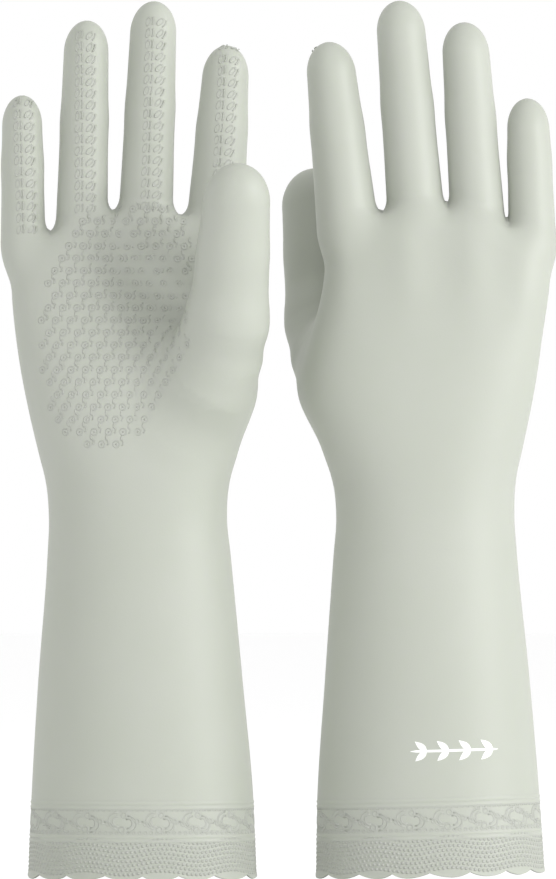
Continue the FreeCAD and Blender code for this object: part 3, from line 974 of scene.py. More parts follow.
@dataclass(frozen=True)
class GripPattern:
    """Small raised figures laid over a part of the film, in rows that lean and fade out at the edge."""

    pattern: Pattern
    width: float
    height: float
    pitch_across: float = 5.2
    pitch_along: float = 4.5
    row_shift: float = 0.56
    drift: float = 0.12
    ring: float = 1.15
    ridge: float = 0.30
    flatness: float = 0.20
    weakest: float = 0.12

    def tree(self) -> bpy.types.NodeTree:
        """Build the Geometry Nodes tree of this pattern.

        Returns:
            The tree, whose inputs place the rows and size the figures.
        """
        made = GeometryTree(f"raised_{self.pattern.value}", (
            ("Width", "NodeSocketFloat"), ("Height", "NodeSocketFloat"), ("Columns", "NodeSocketInt"),
            ("Rows", "NodeSocketInt"), ("Row Shift", "NodeSocketFloat"), ("Drift", "NodeSocketFloat"),
            ("Ring Radius", "NodeSocketFloat"), ("Ridge Radius", "NodeSocketFloat"),
            ("Flatness", "NodeSocketFloat"), ("Weakest", "NodeSocketFloat"),
            ("Centre", "NodeSocketVector"), ("Turn", "NodeSocketRotation"), ("Deepest", "NodeSocketFloat"),
            ("Seed", "NodeSocketInt"), ("Film", "NodeSocketMaterial")))
        maker = made.maker
        grid = maker.make("GeometryNodeMeshGrid", None, {
            "Size X": made.value("Width") * 2.0, "Size Y": made.value("Height"),
            "Vertices X": made.value("Columns"), "Vertices Y": made.value("Rows")})
        column, row, _ = made.parts(maker.make("GeometryNodeInputPosition").outputs[0])
        across = column + row * made.value("Row Shift")
        leant = made.vector(across, 0.0, row)
        off_across = (across - row * made.value("Drift")) / made.value("Width") * 2.0
        off_centre = off_across ** 2.0 + (row / made.value("Height") * 2.0) ** 2.0
        seeded = maker.make("FunctionNodeRandomValue", {"data_type": "FLOAT"}, {"Seed": made.value("Seed")})
        strength = ((1.0 - off_centre) * 2.2).math("MINIMUM", 1.0) * (maker.out(seeded, 1) * 0.35 + 0.75)
        rated = made.stored(grid.outputs[0], "strength", "FLOAT", strength)
        flat = maker.make("GeometryNodeSetPosition", None, {"Geometry": rated, "Position": leant})
        placed = made.moved(flat.outputs[0], made.value("Centre"), made.value("Turn"))
        ahead = maker.make("FunctionNodeRotateVector", None, {
            "Vector": (0.0, 1.0, 0.0), "Rotation": made.value("Turn")})
        hit = maker.make("GeometryNodeRaycast", {"data_type": "FLOAT"}, {
            "Target Geometry": made.inlet.outputs["Geometry"], "Ray Direction": ahead.outputs[0],
            "Ray Length": made.value("Deepest")})
        held = made.stored(placed, "facing", "FLOAT_VECTOR", hit.outputs["Hit Normal"])
        strong = made.read("strength", "FLOAT").math("GREATER_THAN", made.value("Weakest"))
        shown = maker.out(hit, "Is Hit") * strong
        points = maker.make("GeometryNodeMeshToPoints", None, {
            "Mesh": held, "Selection": shown, "Position": hit.outputs["Hit Position"]})
        facing = maker.make("FunctionNodeAlignRotationToVector", {"axis": "Z"}, {
            "Rotation": made.value("Turn"), "Vector": made.read("facing", "FLOAT_VECTOR")})
        figure = self.scroll_figure(made) if self.pattern is Pattern.SCROLLS else self.stroke_figure(made)
        lift = made.vector(1.0, 1.0, made.read("strength", "FLOAT") * made.value("Flatness"))
        spread = maker.make("GeometryNodeInstanceOnPoints", None, {
            "Points": points.outputs[0], "Instance": figure, "Rotation": facing.outputs[0], "Scale": lift})
        return made.close(spread.outputs[0])

    def scroll_figure(self, made: GeometryTree) -> bpy.types.NodeSocket:
        """Draw a ring with a dot in it and a wave that leads up to the next ring.

        Args:
            made: the tree.

        Returns:
            The figure, flat on the XY plane.
        """
        radius, ridge = made.value("Ring Radius"), made.value("Ridge Radius")
        ring = made.swept(made.ring(radius, 10), ridge)
        dot = made.maker.make("GeometryNodeMeshIcoSphere", None, {
            "Radius": ridge * 1.5, "Subdivisions": 1}).outputs[0]
        upper, lower = (made.moved(made.arc(radius * 0.95, start, 2.6, 6),
                                   made.vector(radius * right, radius * up, 0.0))
                        for start, right, up in ((2.0, 2.6, 1.7), (-1.2, 1.3, 0.35)))
        return made.joined(ring, dot, made.swept(made.joined(upper, lower), ridge * 0.9))

    def stroke_figure(self, made: GeometryTree) -> bpy.types.NodeSocket:
        """Draw a slanted oval with a hooked stroke beside it.

        Args:
            made: the tree.

        Returns:
            The figure, flat on the XY plane.
        """
        radius, ridge = made.value("Ring Radius"), made.value("Ridge Radius")
        oval = made.moved(made.swept(made.ring(radius, 10), ridge), turn=(0.0, 0.0, -0.45),
                          scale=(0.66, 1.3, 1.0))
        hook = made.swept(made.arc(radius * 1.9, -0.6, 1.2, 6), ridge)
        beside = made.vector(radius * -0.2, radius * 0.3, 0.0)
        return made.joined(oval, made.moved(hook, beside, (0.0, 0.0, -0.25), (1.0, 1.2, 1.0)))

    def settings(self, centre: Array, turn: Array, deepest: float, seed: int) -> dict[str, object]:
        """Inputs of the tree for one use, in metres.

        Args:
            centre: middle of the rows, which stand away from the film and look at it along their +Y.
            turn: frame of the rows, as columns.
            deepest: how far from the rows the film may be.
            seed: seed of the figures' uneven strength.

        Returns:
            Value of each named input.
        """
        return {"Width": self.width * MM, "Height": self.height * MM,
                "Columns": round(self.width * 2 / self.pitch_across) + 1,
                "Rows": round(self.height / self.pitch_along) + 1,
                "Row Shift": self.row_shift, "Drift": self.drift,
                "Ring Radius": self.ring * MM, "Ridge Radius": self.ridge * MM,
                "Flatness": self.flatness, "Weakest": self.weakest,
                "Centre": Vector(centre.tolist()) * MM, "Turn": Matrix(turn.tolist()).to_euler(),
                "Deepest": deepest * MM, "Seed": seed}


@dataclass(frozen=True)
class Curl:
    """One arc of the lace motif, in metres and radians."""

    radius: float
    start: float
    sweep: float
    steps: int
    place: tuple[float, float, float]
    stretch: float = 1.0


@dataclass(frozen=True)
class LaceBorder:
    """Raised lace round the hem: a band of curled leaves and rings, over a net of pebbles."""

    motifs: int = 16
    loops: int = 105
    pebbles: int = 136
    motif_z: float = 21.1
    top_z: float = 25.0
    bottom_z: float = 17.3
    net_z: float = 8.4
    net_height: float = 11.2
    net_rows: int = 8
    net_swing: float = 0.0007
    ridge: float = 0.48
    pebble: float = 0.70
    flatness: float = 0.27
    curls: tuple[Curl, ...] = (
        Curl(0.0030, 1.4, 3.4, 9, (-0.0024, 0.0006, 0.0)), Curl(0.0030, -1.7, 3.4, 9, (0.0022, -0.0006, 0.0)),
        Curl(0.0017, 1.3, 3.9, 7, (-0.0021, 0.0004, 0.0), 1.1),
        Curl(0.0017, -1.8, 3.9, 7, (0.0020, -0.0004, 0.0), 1.1),
        Curl(0.0026, 0.2, 1.7, 6, (-0.0062, -0.0022, 0.0)), Curl(0.0026, 3.3, 1.7, 6, (0.0062, 0.0022, 0.0)),
    )
    rings: tuple[tuple[float, tuple[float, float, float]], ...] = (
        (0.0010, (0.0004, 0.0026, 0.0)), (0.0011, (-0.0003, -0.0026, 0.0)),
        (0.0008, (0.0055, 0.0004, 0.0)), (0.0007, (-0.0056, -0.0006, 0.0)),
    )
    top_loop: float = 0.0008
    bottom_ring: float = 0.00062

    def tree(self) -> bpy.types.NodeTree:
        """Build the tree that draws the lace flat and wraps it on the arm.

        Returns:
            The tree. Flat X is the turn round the arm, flat Y the height, flat Z the lift off the film.
        """
        made = GeometryTree("hem_lace", (
            ("Motifs", "NodeSocketInt"), ("Loops", "NodeSocketInt"), ("Pebbles", "NodeSocketInt"),
            ("Net Rows", "NodeSocketInt"), ("Girth", "NodeSocketFloat"), ("Motif Height", "NodeSocketFloat"),
            ("Top Height", "NodeSocketFloat"), ("Bottom Height", "NodeSocketFloat"),
            ("Net Middle", "NodeSocketFloat"), ("Net Height", "NodeSocketFloat"),
            ("Ridge Radius", "NodeSocketFloat"), ("Pebble Radius", "NodeSocketFloat"),
            ("Flatness", "NodeSocketFloat"), ("Half Width", "NodeSocketFloat"),
            ("Half Depth", "NodeSocketFloat"), ("Taper", "NodeSocketFloat"), ("Film", "NodeSocketMaterial")))
        maker = made.maker
        loop = made.swept(made.arc(self.top_loop, 0.15, 2.85, 5), made.value("Ridge Radius") * 0.85)
        bead = made.swept(made.ring(self.bottom_ring, 6), made.value("Ridge Radius") * 0.8)
        rows = [self.row(made, self.motif(made), made.value("Motifs"), made.value("Motif Height")),
                self.row(made, loop, made.value("Loops"), made.value("Top Height")),
                self.row(made, bead, made.value("Loops"), made.value("Bottom Height")), self.net(made)]
        flat = maker.make("GeometryNodeRealizeInstances", None, {"Geometry": made.joined(*rows)})
        along, height, lift = made.parts(maker.make("GeometryNodeInputPosition").outputs[0])
        turn = along / made.value("Girth") * math.tau
        narrower = height * made.value("Taper")
        rise = lift * made.value("Flatness")
        half_width = made.value("Half Width") - narrower + rise
        half_depth = made.value("Half Depth") - narrower + rise
        slant = (turn.math("SINE") * made.value("Half Depth")).math(
            "ARCTAN2", turn.math("COSINE") * made.value("Half Width"))
        lag = (slant - turn).math("WRAP", math.pi, -math.pi) * 0.5 + turn
        across, deep = lag.math("COSINE") / half_width, lag.math("SINE") / half_depth
        radius = (across ** 2.0 + deep ** 2.0) ** -0.5
        wrapped = made.vector(lag.math("COSINE") * radius, lag.math("SINE") * radius, height)
        bent = maker.make("GeometryNodeSetPosition", None, {"Geometry": flat.outputs[0],
                                                            "Position": wrapped})
        return made.close(bent.outputs[0])

    def row(self, made: GeometryTree, figure: bpy.types.NodeSocket, count: Wire,
            height: Wire | float) -> bpy.types.NodeSocket:
        """Repeat a figure along the flat girth.

        Args:
            made: the tree.
            figure: the figure.
            count: how many times it stands in the row.
            height: height of the row.

        Returns:
            The row, as instances.
        """
        maker = made.maker
        pitch = made.value("Girth") / count
        line = maker.make("GeometryNodeMeshLine", {"mode": "OFFSET"}, {
            "Count": count, "Start Location": made.vector(pitch * 0.5, height, 0.0),
            "Offset": made.vector(pitch, 0.0, 0.0)})
        return maker.make("GeometryNodeInstanceOnPoints", None, {
            "Points": line.outputs[0], "Instance": figure}).outputs[0]

    def motif(self, made: GeometryTree) -> bpy.types.NodeSocket:
        """Draw two leaves curled over a bending stem, with rings where it turns.

        Args:
            made: the tree.

        Returns:
            The motif, flat on the XY plane.
        """
        strokes = [made.moved(made.arc(curl.radius, curl.start, curl.sweep, curl.steps), curl.place,
                              scale=(1.0, curl.stretch, 1.0)) for curl in self.curls]
        rings = [made.moved(made.ring(size, 8), place) for size, place in self.rings]
        return made.swept(made.joined(*strokes, *rings), made.value("Ridge Radius"))

    def net(self, made: GeometryTree) -> bpy.types.NodeSocket:
        """Lay a net of pebbles whose rows swing up and down over the scallops.

        Args:
            made: the tree.

        Returns:
            The net, as instances.
        """
        maker = made.maker
        grid = maker.make("GeometryNodeMeshGrid", None, {
            "Size X": made.value("Girth"), "Size Y": made.value("Net Height"),
            "Vertices X": made.value("Pebbles"), "Vertices Y": made.value("Net Rows")})
        along, height, _ = made.parts(maker.make("GeometryNodeInputPosition").outputs[0])
        row = (height / made.value("Net Height") + 0.5) * (made.value("Net Rows") - 1.0)
        stagger = row.math("ROUND").math("MODULO", 2.0) * made.value("Girth") / made.value("Pebbles") * 0.5
        swing = (along / made.value("Girth") * math.tau * 8.0).math("SINE") * self.net_swing
        placed = made.vector(along + stagger, height + made.value("Net Middle") + swing, 0.0)
        bent = maker.make("GeometryNodeSetPosition", None, {"Geometry": grid.outputs[0], "Position": placed})
        pebble = maker.make("GeometryNodeMeshIcoSphere", None, {
            "Radius": made.value("Pebble Radius"), "Subdivisions": 1}).outputs[0]
        return maker.make("GeometryNodeInstanceOnPoints", None, {
            "Points": bent.outputs[0], "Instance": pebble}).outputs[0]

    def settings(self, arm: Arm) -> dict[str, object]:
        """Inputs of the tree for an arm, in metres.

        Args:
            arm: the arm that the lace is wrapped on.

        Returns:
            Value of each named input.
        """
        base, top = arm.sections[0], arm.sections[1]
        return {"Motifs": self.motifs, "Loops": self.loops, "Pebbles": self.pebbles,
                "Net Rows": self.net_rows, "Girth": math.pi * (base.half_width + base.half_depth) * MM,
                "Motif Height": self.motif_z * MM, "Top Height": self.top_z * MM,
                "Bottom Height": self.bottom_z * MM, "Net Middle": self.net_z * MM,
                "Net Height": self.net_height * MM, "Ridge Radius": self.ridge * MM,
                "Pebble Radius": self.pebble * MM, "Flatness": self.flatness,
                "Half Width": base.half_width * MM, "Half Depth": base.half_depth * MM,
                "Taper": (base.half_width - top.half_width) / top.z}


def grow(tree: bpy.types.NodeTree, settings: dict[str, object], carrier: Patch | None,
         film: bpy.types.Material) -> Patch:
    """Run a tree on a patch and read what it makes.

    Args:
        tree: the Geometry Nodes tree.
        settings: value of each named input.
        carrier: film that the tree lays its figures on, in glove space.
        film: material that the tree sets.

    Returns:
        The raised figures, in glove space.
    """
    mesh = bpy.data.meshes.new("carrier")
    if carrier is not None:
        mesh.from_pydata((carrier.points * MM).tolist(), [], carrier.faces)
        mesh.polygons.foreach_set("use_smooth", [True] * len(mesh.polygons))
    holder = bpy.data.objects.new("carrier", mesh)
    bpy.context.scene.collection.objects.link(holder)
    modifier = holder.modifiers.new("raised", "NODES")
    modifier.node_group = tree
    identifiers = {item.name: item.identifier for item in tree.interface.items_tree
                   if item.item_type == "SOCKET" and item.in_out == "INPUT"}
    for name, value in {**settings, "Film": film}.items():
        modifier[identifiers[name]] = value
    evaluated = holder.evaluated_get(bpy.context.evaluated_depsgraph_get())
    made = bpy.data.meshes.new_from_object(evaluated)
    points = np.empty(len(made.vertices) * 3)
    made.vertices.foreach_get("co", points)
    normals = np.empty(len(made.vertices) * 3)
    made.vertex_normals.foreach_get("vector", normals)
    faces = [tuple(polygon.vertices) for polygon in made.polygons]
    bpy.data.objects.remove(holder)
    bpy.data.meshes.remove(mesh)
    bpy.data.meshes.remove(made)
    return Patch(points.reshape(-1, 3) / MM, faces, normals.reshape(-1, 3))


# ---------------------------------------------------------------------------------------------------------
# A glove
# ---------------------------------------------------------------------------------------------------------


@dataclass
class Hem:
    """Hem band: double beads and a scalloped edge, as a fine grid round the arm."""

    arm: Arm
    height: float = 29.0
    scallop: float = 1.8
    scallops: int = 16
    columns: int = 448
    rows: int = 74
    beads: tuple[float, ...] = (14.2, 15.8, 26.2, 27.9)
    bead_height: float = 0.26
    bead_half: float = 0.40
    lip_height: float = 0.30
    lip_half: float = 0.7
    scallop_power: float = 0.75

    def patch(self) -> Patch:
        """Outer film of the band.

        Returns:
            The grid, wound round the arm.
        """
        angle = np.linspace(0.0, math.tau, self.columns, endpoint=False)
        around = angle / math.tau * self.scallops
        wobble = 0.25 * np.sin(angle * 5.0 + 0.8) + 0.18 * np.sin(angle * 9.0 + 2.0)
        edge = self.scallop * (1.0 - np.abs(np.sin(np.pi * (around + wobble * 0.25))) ** self.scallop_power)
        share = np.linspace(0.0, 1.0, self.rows)[:, None]
        z = edge[None, :] + (self.height - edge[None, :]) * share
        lift = sum(self.bead_height * bell((z - bead) / self.bead_half) for bead in self.beads)
        lip = self.lip_height * bell((z - edge[None, :]) / self.lip_half)
        return grid_patch(self.arm, even_angle(self.arm, angle)[None, :] + z * 0.0, z, lift + lip)


def even_angle(arm: Arm, turn: Array) -> Array:
    """Angle round the arm that spaces equal turns nearly evenly along the film.

    Args:
        arm: the arm.
        turn: equal turns.

    Returns:
        The angle for each turn.
    """
    first = arm.sections[0]
    slant = np.arctan2(first.half_depth * np.sin(turn), first.half_width * np.cos(turn))
    return turn + np.angle(np.exp(1j * (slant - turn))) * 0.5


def grid_patch(arm: Arm, angle: Array, z: Array, lift: Array | float = 0.0) -> Patch:
    """Grid wound round the arm.

    Args:
        arm: the tube that the grid follows.
        angle: angle round the arm for each row and column.
        z: height for each row and column.
        lift: how far the film stands out there.

    Returns:
        The closed ring of faces, with its normals.
    """
    centre_x, centre_y, *_ = arm.measures(z)
    radius = arm.radius(angle, z) + lift
    points = np.stack([centre_x + radius * np.cos(angle), centre_y + radius * np.sin(angle), z], axis=-1)
    around = np.roll(points, -1, axis=1) - np.roll(points, 1, axis=1)
    normals = np.cross(around, np.gradient(points, axis=0))
    normals /= np.linalg.norm(normals, axis=2, keepdims=True)
    rows, columns = z.shape
    number = np.arange(rows * columns).reshape(rows, columns)
    right = np.roll(number, -1, axis=1)
    quads = np.stack([number[:-1], right[:-1], right[1:], number[1:]], axis=-1).reshape(-1, 4)
    return Patch(points.reshape(-1, 3), [tuple(quad) for quad in quads.tolist()], normals.reshape(-1, 3))


@dataclass
class Glove:
    """One glove: reads where it stands, builds its skin and gives the hem, sleeve, hand and print their
    bodies.
    """

    view: View
    frame: dict
    film: bpy.types.Material
    ink: bpy.types.Material
    fullness: float = 1.0
    sleeve_top: float = 119.0
    hand_bottom: float = 143.0
    columns: int = 224
    sleeve_rows: int = 76
    wrist_rows: int = 28
    net_step: float = 1.6
    net_half_width: float = 60.0
    net_depth: tuple[float, float] = (-62.0, 34.0)
    net_below: float = 4.0
    net_top: float = 326.0
    relax_rounds: int = 4
    stall_cut: float = 3.6
    stall_below: float = 6.0
    stall_margin: float = 1.30
    fold_share: float = 0.86
    longest_half_fold: float = 6.4
    scrolls: GripPattern = GripPattern(Pattern.SCROLLS, 58.0, 104.0)
    scroll_centre: tuple[float, float, float] = (-9.0, -60.0, 206.0)
    scroll_reach: float = 56.0
    scroll_seed: int = 3
    strokes: GripPattern = GripPattern(Pattern.STROKES, 11.0, 84.0, 4.6, 4.2, row_shift=0.0, drift=0.0)
    stroke_middle: float = 0.48
    stroke_off: float = 24.0
    stroke_reach: float = 26.0
    hem: Hem = field(init=False)
    form: GloveForm = field(init=False)

    def __post_init__(self) -> None:
        """Find the glove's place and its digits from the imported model."""
        name = self.view.value
        self.joints = {joint["name"]: joint for joint in self.frame["joints"]}
        cuff = next(mount for mount in self.frame["record"]["mounts"] if mount["name"] == f"{name}_cuff")
        self.origin = np.array(cuff["pos_m"]) / MM
        side = np.array(self.joints[f"{name}_wrist"]["axis"], float)
        up = -np.array(cuff["axis"], float)
        self.axes = np.stack([side, np.cross(up, side), up], axis=1)
        self.form = GloveForm({digit: self.place_digit(digit) for digit in DIGIT_SIZES},
                              Arm(side=WEB_SIDE[self.view], swell=THUMB_SWELL[self.view]),
                              ThumbBase(side=THUMB_SWELL[self.view]))
        self.hem = Hem(self.form.arm)

    def place_digit(self, digit: str) -> Digit:
        """Lay a stall through the two hinges of its digit.

        Args:
            digit: name of the digit.

        Returns:
            The stall.
        """
        size = DIGIT_SIZES[digit]
        hinges = [self.joints[f"{self.view.value}_{digit}_{part}"] for part in ("root", "knuckle")]
        root, knuckle = (self.to_glove(np.array(hinge["pos_m"]) / MM) for hinge in hinges)
        along = (knuckle - root) / np.linalg.norm(knuckle - root)
        across = np.array([1.0, 0.0, 0.0]) - along * along[0]
        across /= np.linalg.norm(across)
        turn = np.stack([across, np.cross(along, across), along], axis=1)
        start = root - along * size.root_fold / 2
        return Digit(digit, size, start, turn, float(np.linalg.norm(knuckle - start)), self.fullness,
                     LIES[self.view][digit])

    def to_glove(self, point: Array) -> Array:
        """Point of the row frame in glove space, both in millimetres."""
        return (point - self.origin) @ self.axes

    def to_row(self, points: Array) -> Array:
        """Points of glove space in the row frame, in metres."""
        return (points @ self.axes.T + self.origin) * MM

    def piece(self, name: str, patch: Patch, material: bpy.types.Material) -> bpy.types.Object:
        """Make an object of a patch.

        Args:
            name: name of the piece after the glove's name.
            patch: its mesh in glove space.
            material: its finish.

        Returns:
            The object, at the origin, with its place in its mesh.
        """
        mesh = bpy.data.meshes.new(f"{self.view.value}_{name}")
        mesh.from_pydata(self.to_row(patch.points).tolist(), [], patch.faces)
        mesh.polygons.foreach_set("use_smooth", [True] * len(mesh.polygons))
        mesh.materials.append(material)
        mesh.normals_split_custom_set_from_vertices((patch.normals @ self.axes.T).tolist())
        made = bpy.data.objects.new(f"{self.view.value}_{name}", mesh)
        bpy.context.scene.collection.objects.link(made)
        LOG.info("%s: %d points, %d faces", made.name, len(mesh.vertices), len(mesh.polygons))
        return made

    def build(self) -> None:
        """Build every piece of the glove."""
        self.build_sleeve()
        self.build_hand()
        if self.view is View.BACK:
            self.build_print()

    def build_sleeve(self) -> None:
        """Hem band with its lace, sleeve and wrist."""
        name = self.view.value
        lace = LaceBorder()
        raised = grow(lace.tree(), lace.settings(self.form.arm), None, self.film)
        hem = self.piece("hem_band_film", self.hem.patch().shell(WALL).joined(raised), self.film)
        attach(hem, f"{name}_sleeve")
        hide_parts(f"{name}_hem_band")
        sleeve = self.piece("sleeve_film", self.tube(self.hem.height, self.sleeve_top, self.sleeve_rows),
                            self.film)
        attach(sleeve, f"{name}_sleeve")
        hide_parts(f"{name}_sleeve")
        wrist = self.piece("wrist_film", self.tube(self.sleeve_top, self.hand_bottom, self.wrist_rows),
                           self.film)
        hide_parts(f"{name}_wrist_fold")
        start, end = (self.to_row(np.array([0.0, 0.0, z])) for z in (self.sleeve_top, self.hand_bottom))
        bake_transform(wrist)

    def tube(self, low: float, high: float, rows: int) -> Patch:
        """Film round the arm between two heights, with its wall.

        Args:
            low: height of the lower end.
            high: height of the upper end.
            rows: number of rings of points.

        Returns:
            The closed film.
        """
        angle = np.linspace(0.0, math.tau, self.columns, endpoint=False)
        even = even_angle(self.form.arm, angle)[None, :]
        heights = np.linspace(low, high, rows)[:, None] + even * 0.0
        return grid_patch(self.form.arm, even + heights * 0.0, heights).shell(WALL)

    def build_hand(self) -> None:
        """Hand and stalls: one skin, cut at the root and the knuckle of each digit."""
        low = (-self.net_half_width, self.net_depth[0], self.hand_bottom - self.net_below)
        high = (self.net_half_width, self.net_depth[1], self.net_top)
        skin = relax(self.form, surface_net(self.form, low, high, self.net_step), self.relax_rounds)
        parts = self.cut(skin)
        scroll_tree, stroke_tree = self.scrolls.tree(), self.strokes.tree()
        for part, patch in parts.items():
            closed = patch.shell(WALL)
            if part == "hand":
                centre = np.array(self.scroll_centre)
                settings = self.scrolls.settings(centre, np.eye(3), self.scroll_reach, self.scroll_seed)
                closed = closed.joined(grow(scroll_tree, settings, patch, self.film))
            elif not part.startswith("thumb"):
                digit = self.form.digits[part.split("_")[0]]
                centre = digit.at(digit.size.length * self.stroke_middle) - digit.turn[:, 1] * self.stroke_off
                settings = self.strokes.settings(centre, digit.turn, self.stroke_reach, len(part))
                closed = closed.joined(grow(stroke_tree, settings, patch, self.film))
            self.hang(self.piece(f"{part}_film", closed, self.film), part)

    def cut(self, skin: Patch) -> dict[str, Patch]:
        """Cut the skin into the hand and two lengths of each stall.

        Args:
            skin: the whole skin above the wrist.

        Returns:
            One open patch for each piece, by name.
        """
        sliced, middles = self.sliced(skin)
        labels = np.full(len(middles), "hand", dtype=object)
        owner = self.owner(middles)
        for digit in self.form.digits.values():
            w = digit.local(middles)[:, 2]
            mine = (owner == digit.name) & (w > self.stall_cut)
            labels[mine] = f"{digit.name}_lower"
            labels[mine & (w > self.fold_start(digit))] = f"{digit.name}_tip"
        parts = {}
        for label in dict.fromkeys(labels.tolist()):
            chosen = [sliced.faces[number] for number in np.nonzero(labels == label)[0]]
            used = np.unique(np.concatenate([np.array(face) for face in chosen]))
            renumber = dict(zip(used.tolist(), range(len(used))))
            faces = [tuple(renumber[corner] for corner in face) for face in chosen]
            parts[label] = Patch(sliced.points[used], faces, sliced.normals[used])
        return parts

    def sliced(self, skin: Patch) -> tuple[Patch, Array]:
        """Slice the skin along the planes that it is cut at, and drop what is below the wrist.

        Args:
            skin: the whole skin above the wrist.

        Returns:
            The sliced skin, and the middle of each of its faces.
        """
        work = bmesh.new()
        corners = [work.verts.new(point) for point in skin.points.tolist()]
        for face in skin.faces:
            work.faces.new([corners[corner] for corner in face])
        work.normal_update()
        wrist = np.array([0.0, 0.0, self.hand_bottom])
        bmesh.ops.bisect_plane(work, geom=self.around(work.faces), plane_co=wrist.tolist(),
                               plane_no=(0.0, 0.0, 1.0), dist=1e-4)
        for digit in self.form.digits.values():
            for place in (self.stall_cut, self.fold_start(digit)):
                near = work.faces[:]
                mine = self.owner(np.array([face.calc_center_median()[:] for face in near])) == digit.name
                geometry = self.around([near[number] for number in np.nonzero(mine)[0]])
                bmesh.ops.bisect_plane(work, geom=geometry, plane_co=digit.at(place).tolist(),
                                       plane_no=digit.along.tolist(), dist=1e-4)
        below = [face for face in work.faces if face.calc_center_median()[2] < self.hand_bottom]
        bmesh.ops.delete(work, geom=below, context="FACES")
        work.verts.index_update()
        points = np.array([vert.co[:] for vert in work.verts])
        faces = [tuple(vert.index for vert in face.verts) for face in work.faces]
        middles = np.array([face.calc_center_median()[:] for face in work.faces])
        work.free()
        return Patch(points, faces, self.form.slope(points)), middles

    @staticmethod
    def around(faces: Iterable[bmesh.types.BMFace]) -> list[object]:
        """Gather faces with their edges and corners.

        Args:
            faces: the faces.

        Returns:
            All of them in one list.
        """
        near = set(faces)
        near.update([edge for face in faces for edge in face.edges])
        near.update([vert for face in faces for vert in face.verts])
        return list(near)

    def owner(self, points: Array) -> Array:
        """Find the digit that each point belongs to.

        Args:
            points: points of glove space on the film.

        Returns:
            Name of the digit of each point, or an empty name on the hand.
        """
        names = np.array([*self.form.digits, ""], dtype=object)
        gaps = []
        for digit in self.form.digits.values():
            u, v, w = digit.local(points).T
            lateral = np.hypot(u - digit.lie.root_side, v / digit.size.roundness)
            reach = digit.size.start_width * 0.5 * digit.fullness * self.stall_margin
            gaps.append(np.where((w > -self.stall_below) & (lateral < reach), lateral - reach, FAR))
        best = np.argmin(np.stack([*gaps, np.full(len(points), 0.0)]), axis=0)
        return names[best]

    def fold_start(self, digit: Digit) -> float:
        """Find where the knuckle fold of a stall begins.

        Args:
            digit: the stall.

        Returns:
            Its distance from the root of the stall.
        """
        low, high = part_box(f"{self.view.value}_{digit.name}_knuckle_fold")
        half_fold = (high[2] - low[2]) / MM * 0.5
        return digit.knuckle - min(half_fold * self.fold_share, self.longest_half_fold)

    def hang(self, made: bpy.types.Object, part: str) -> None:
        """Give the hand piece its body; for a stall piece, hide the model parts that it stands for and keep
        its place in its mesh.

        Args:
            made: the piece.
            part: its name after the glove's name.
        """
        name = self.view.value
        if part == "hand":
            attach(made, f"{name}_hand")
            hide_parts(f"{name}_hand")
            return
        digit = self.form.digits[part.split("_")[0]]
        stem = f"{name}_{digit.name}"
        if part.endswith("lower"):
            span = (self.stall_cut, digit.size.root_fold - 0.5)
            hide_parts(f"{stem}_root_fold", f"{stem}_lower_stall")
        else:
            begin = self.fold_start(digit)
            span = (begin, 2 * digit.knuckle - begin)
            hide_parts(f"{stem}_knuckle_fold", f"{stem}_fingertip")
        start, end = (tuple(self.to_row(digit.at(w))) for w in span)
        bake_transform(made)

    def build_print(self) -> None:
        """Printed sprig on the sleeve, which stands just proud of the film."""
        name = self.view.value
        low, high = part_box(f"{name}_printed_sprig")
        middle = self.to_glove((np.array(low) + np.array(high)) / 2 / MM)
        sprig = Sprig(self.form.arm, middle[0], middle[2], (high[0] - low[0]) / MM)
        made = self.piece("printed_leaves", sprig.patch(), self.ink)
        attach(made, f"{name}_sleeve")
        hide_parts(f"{name}_printed_sprig")


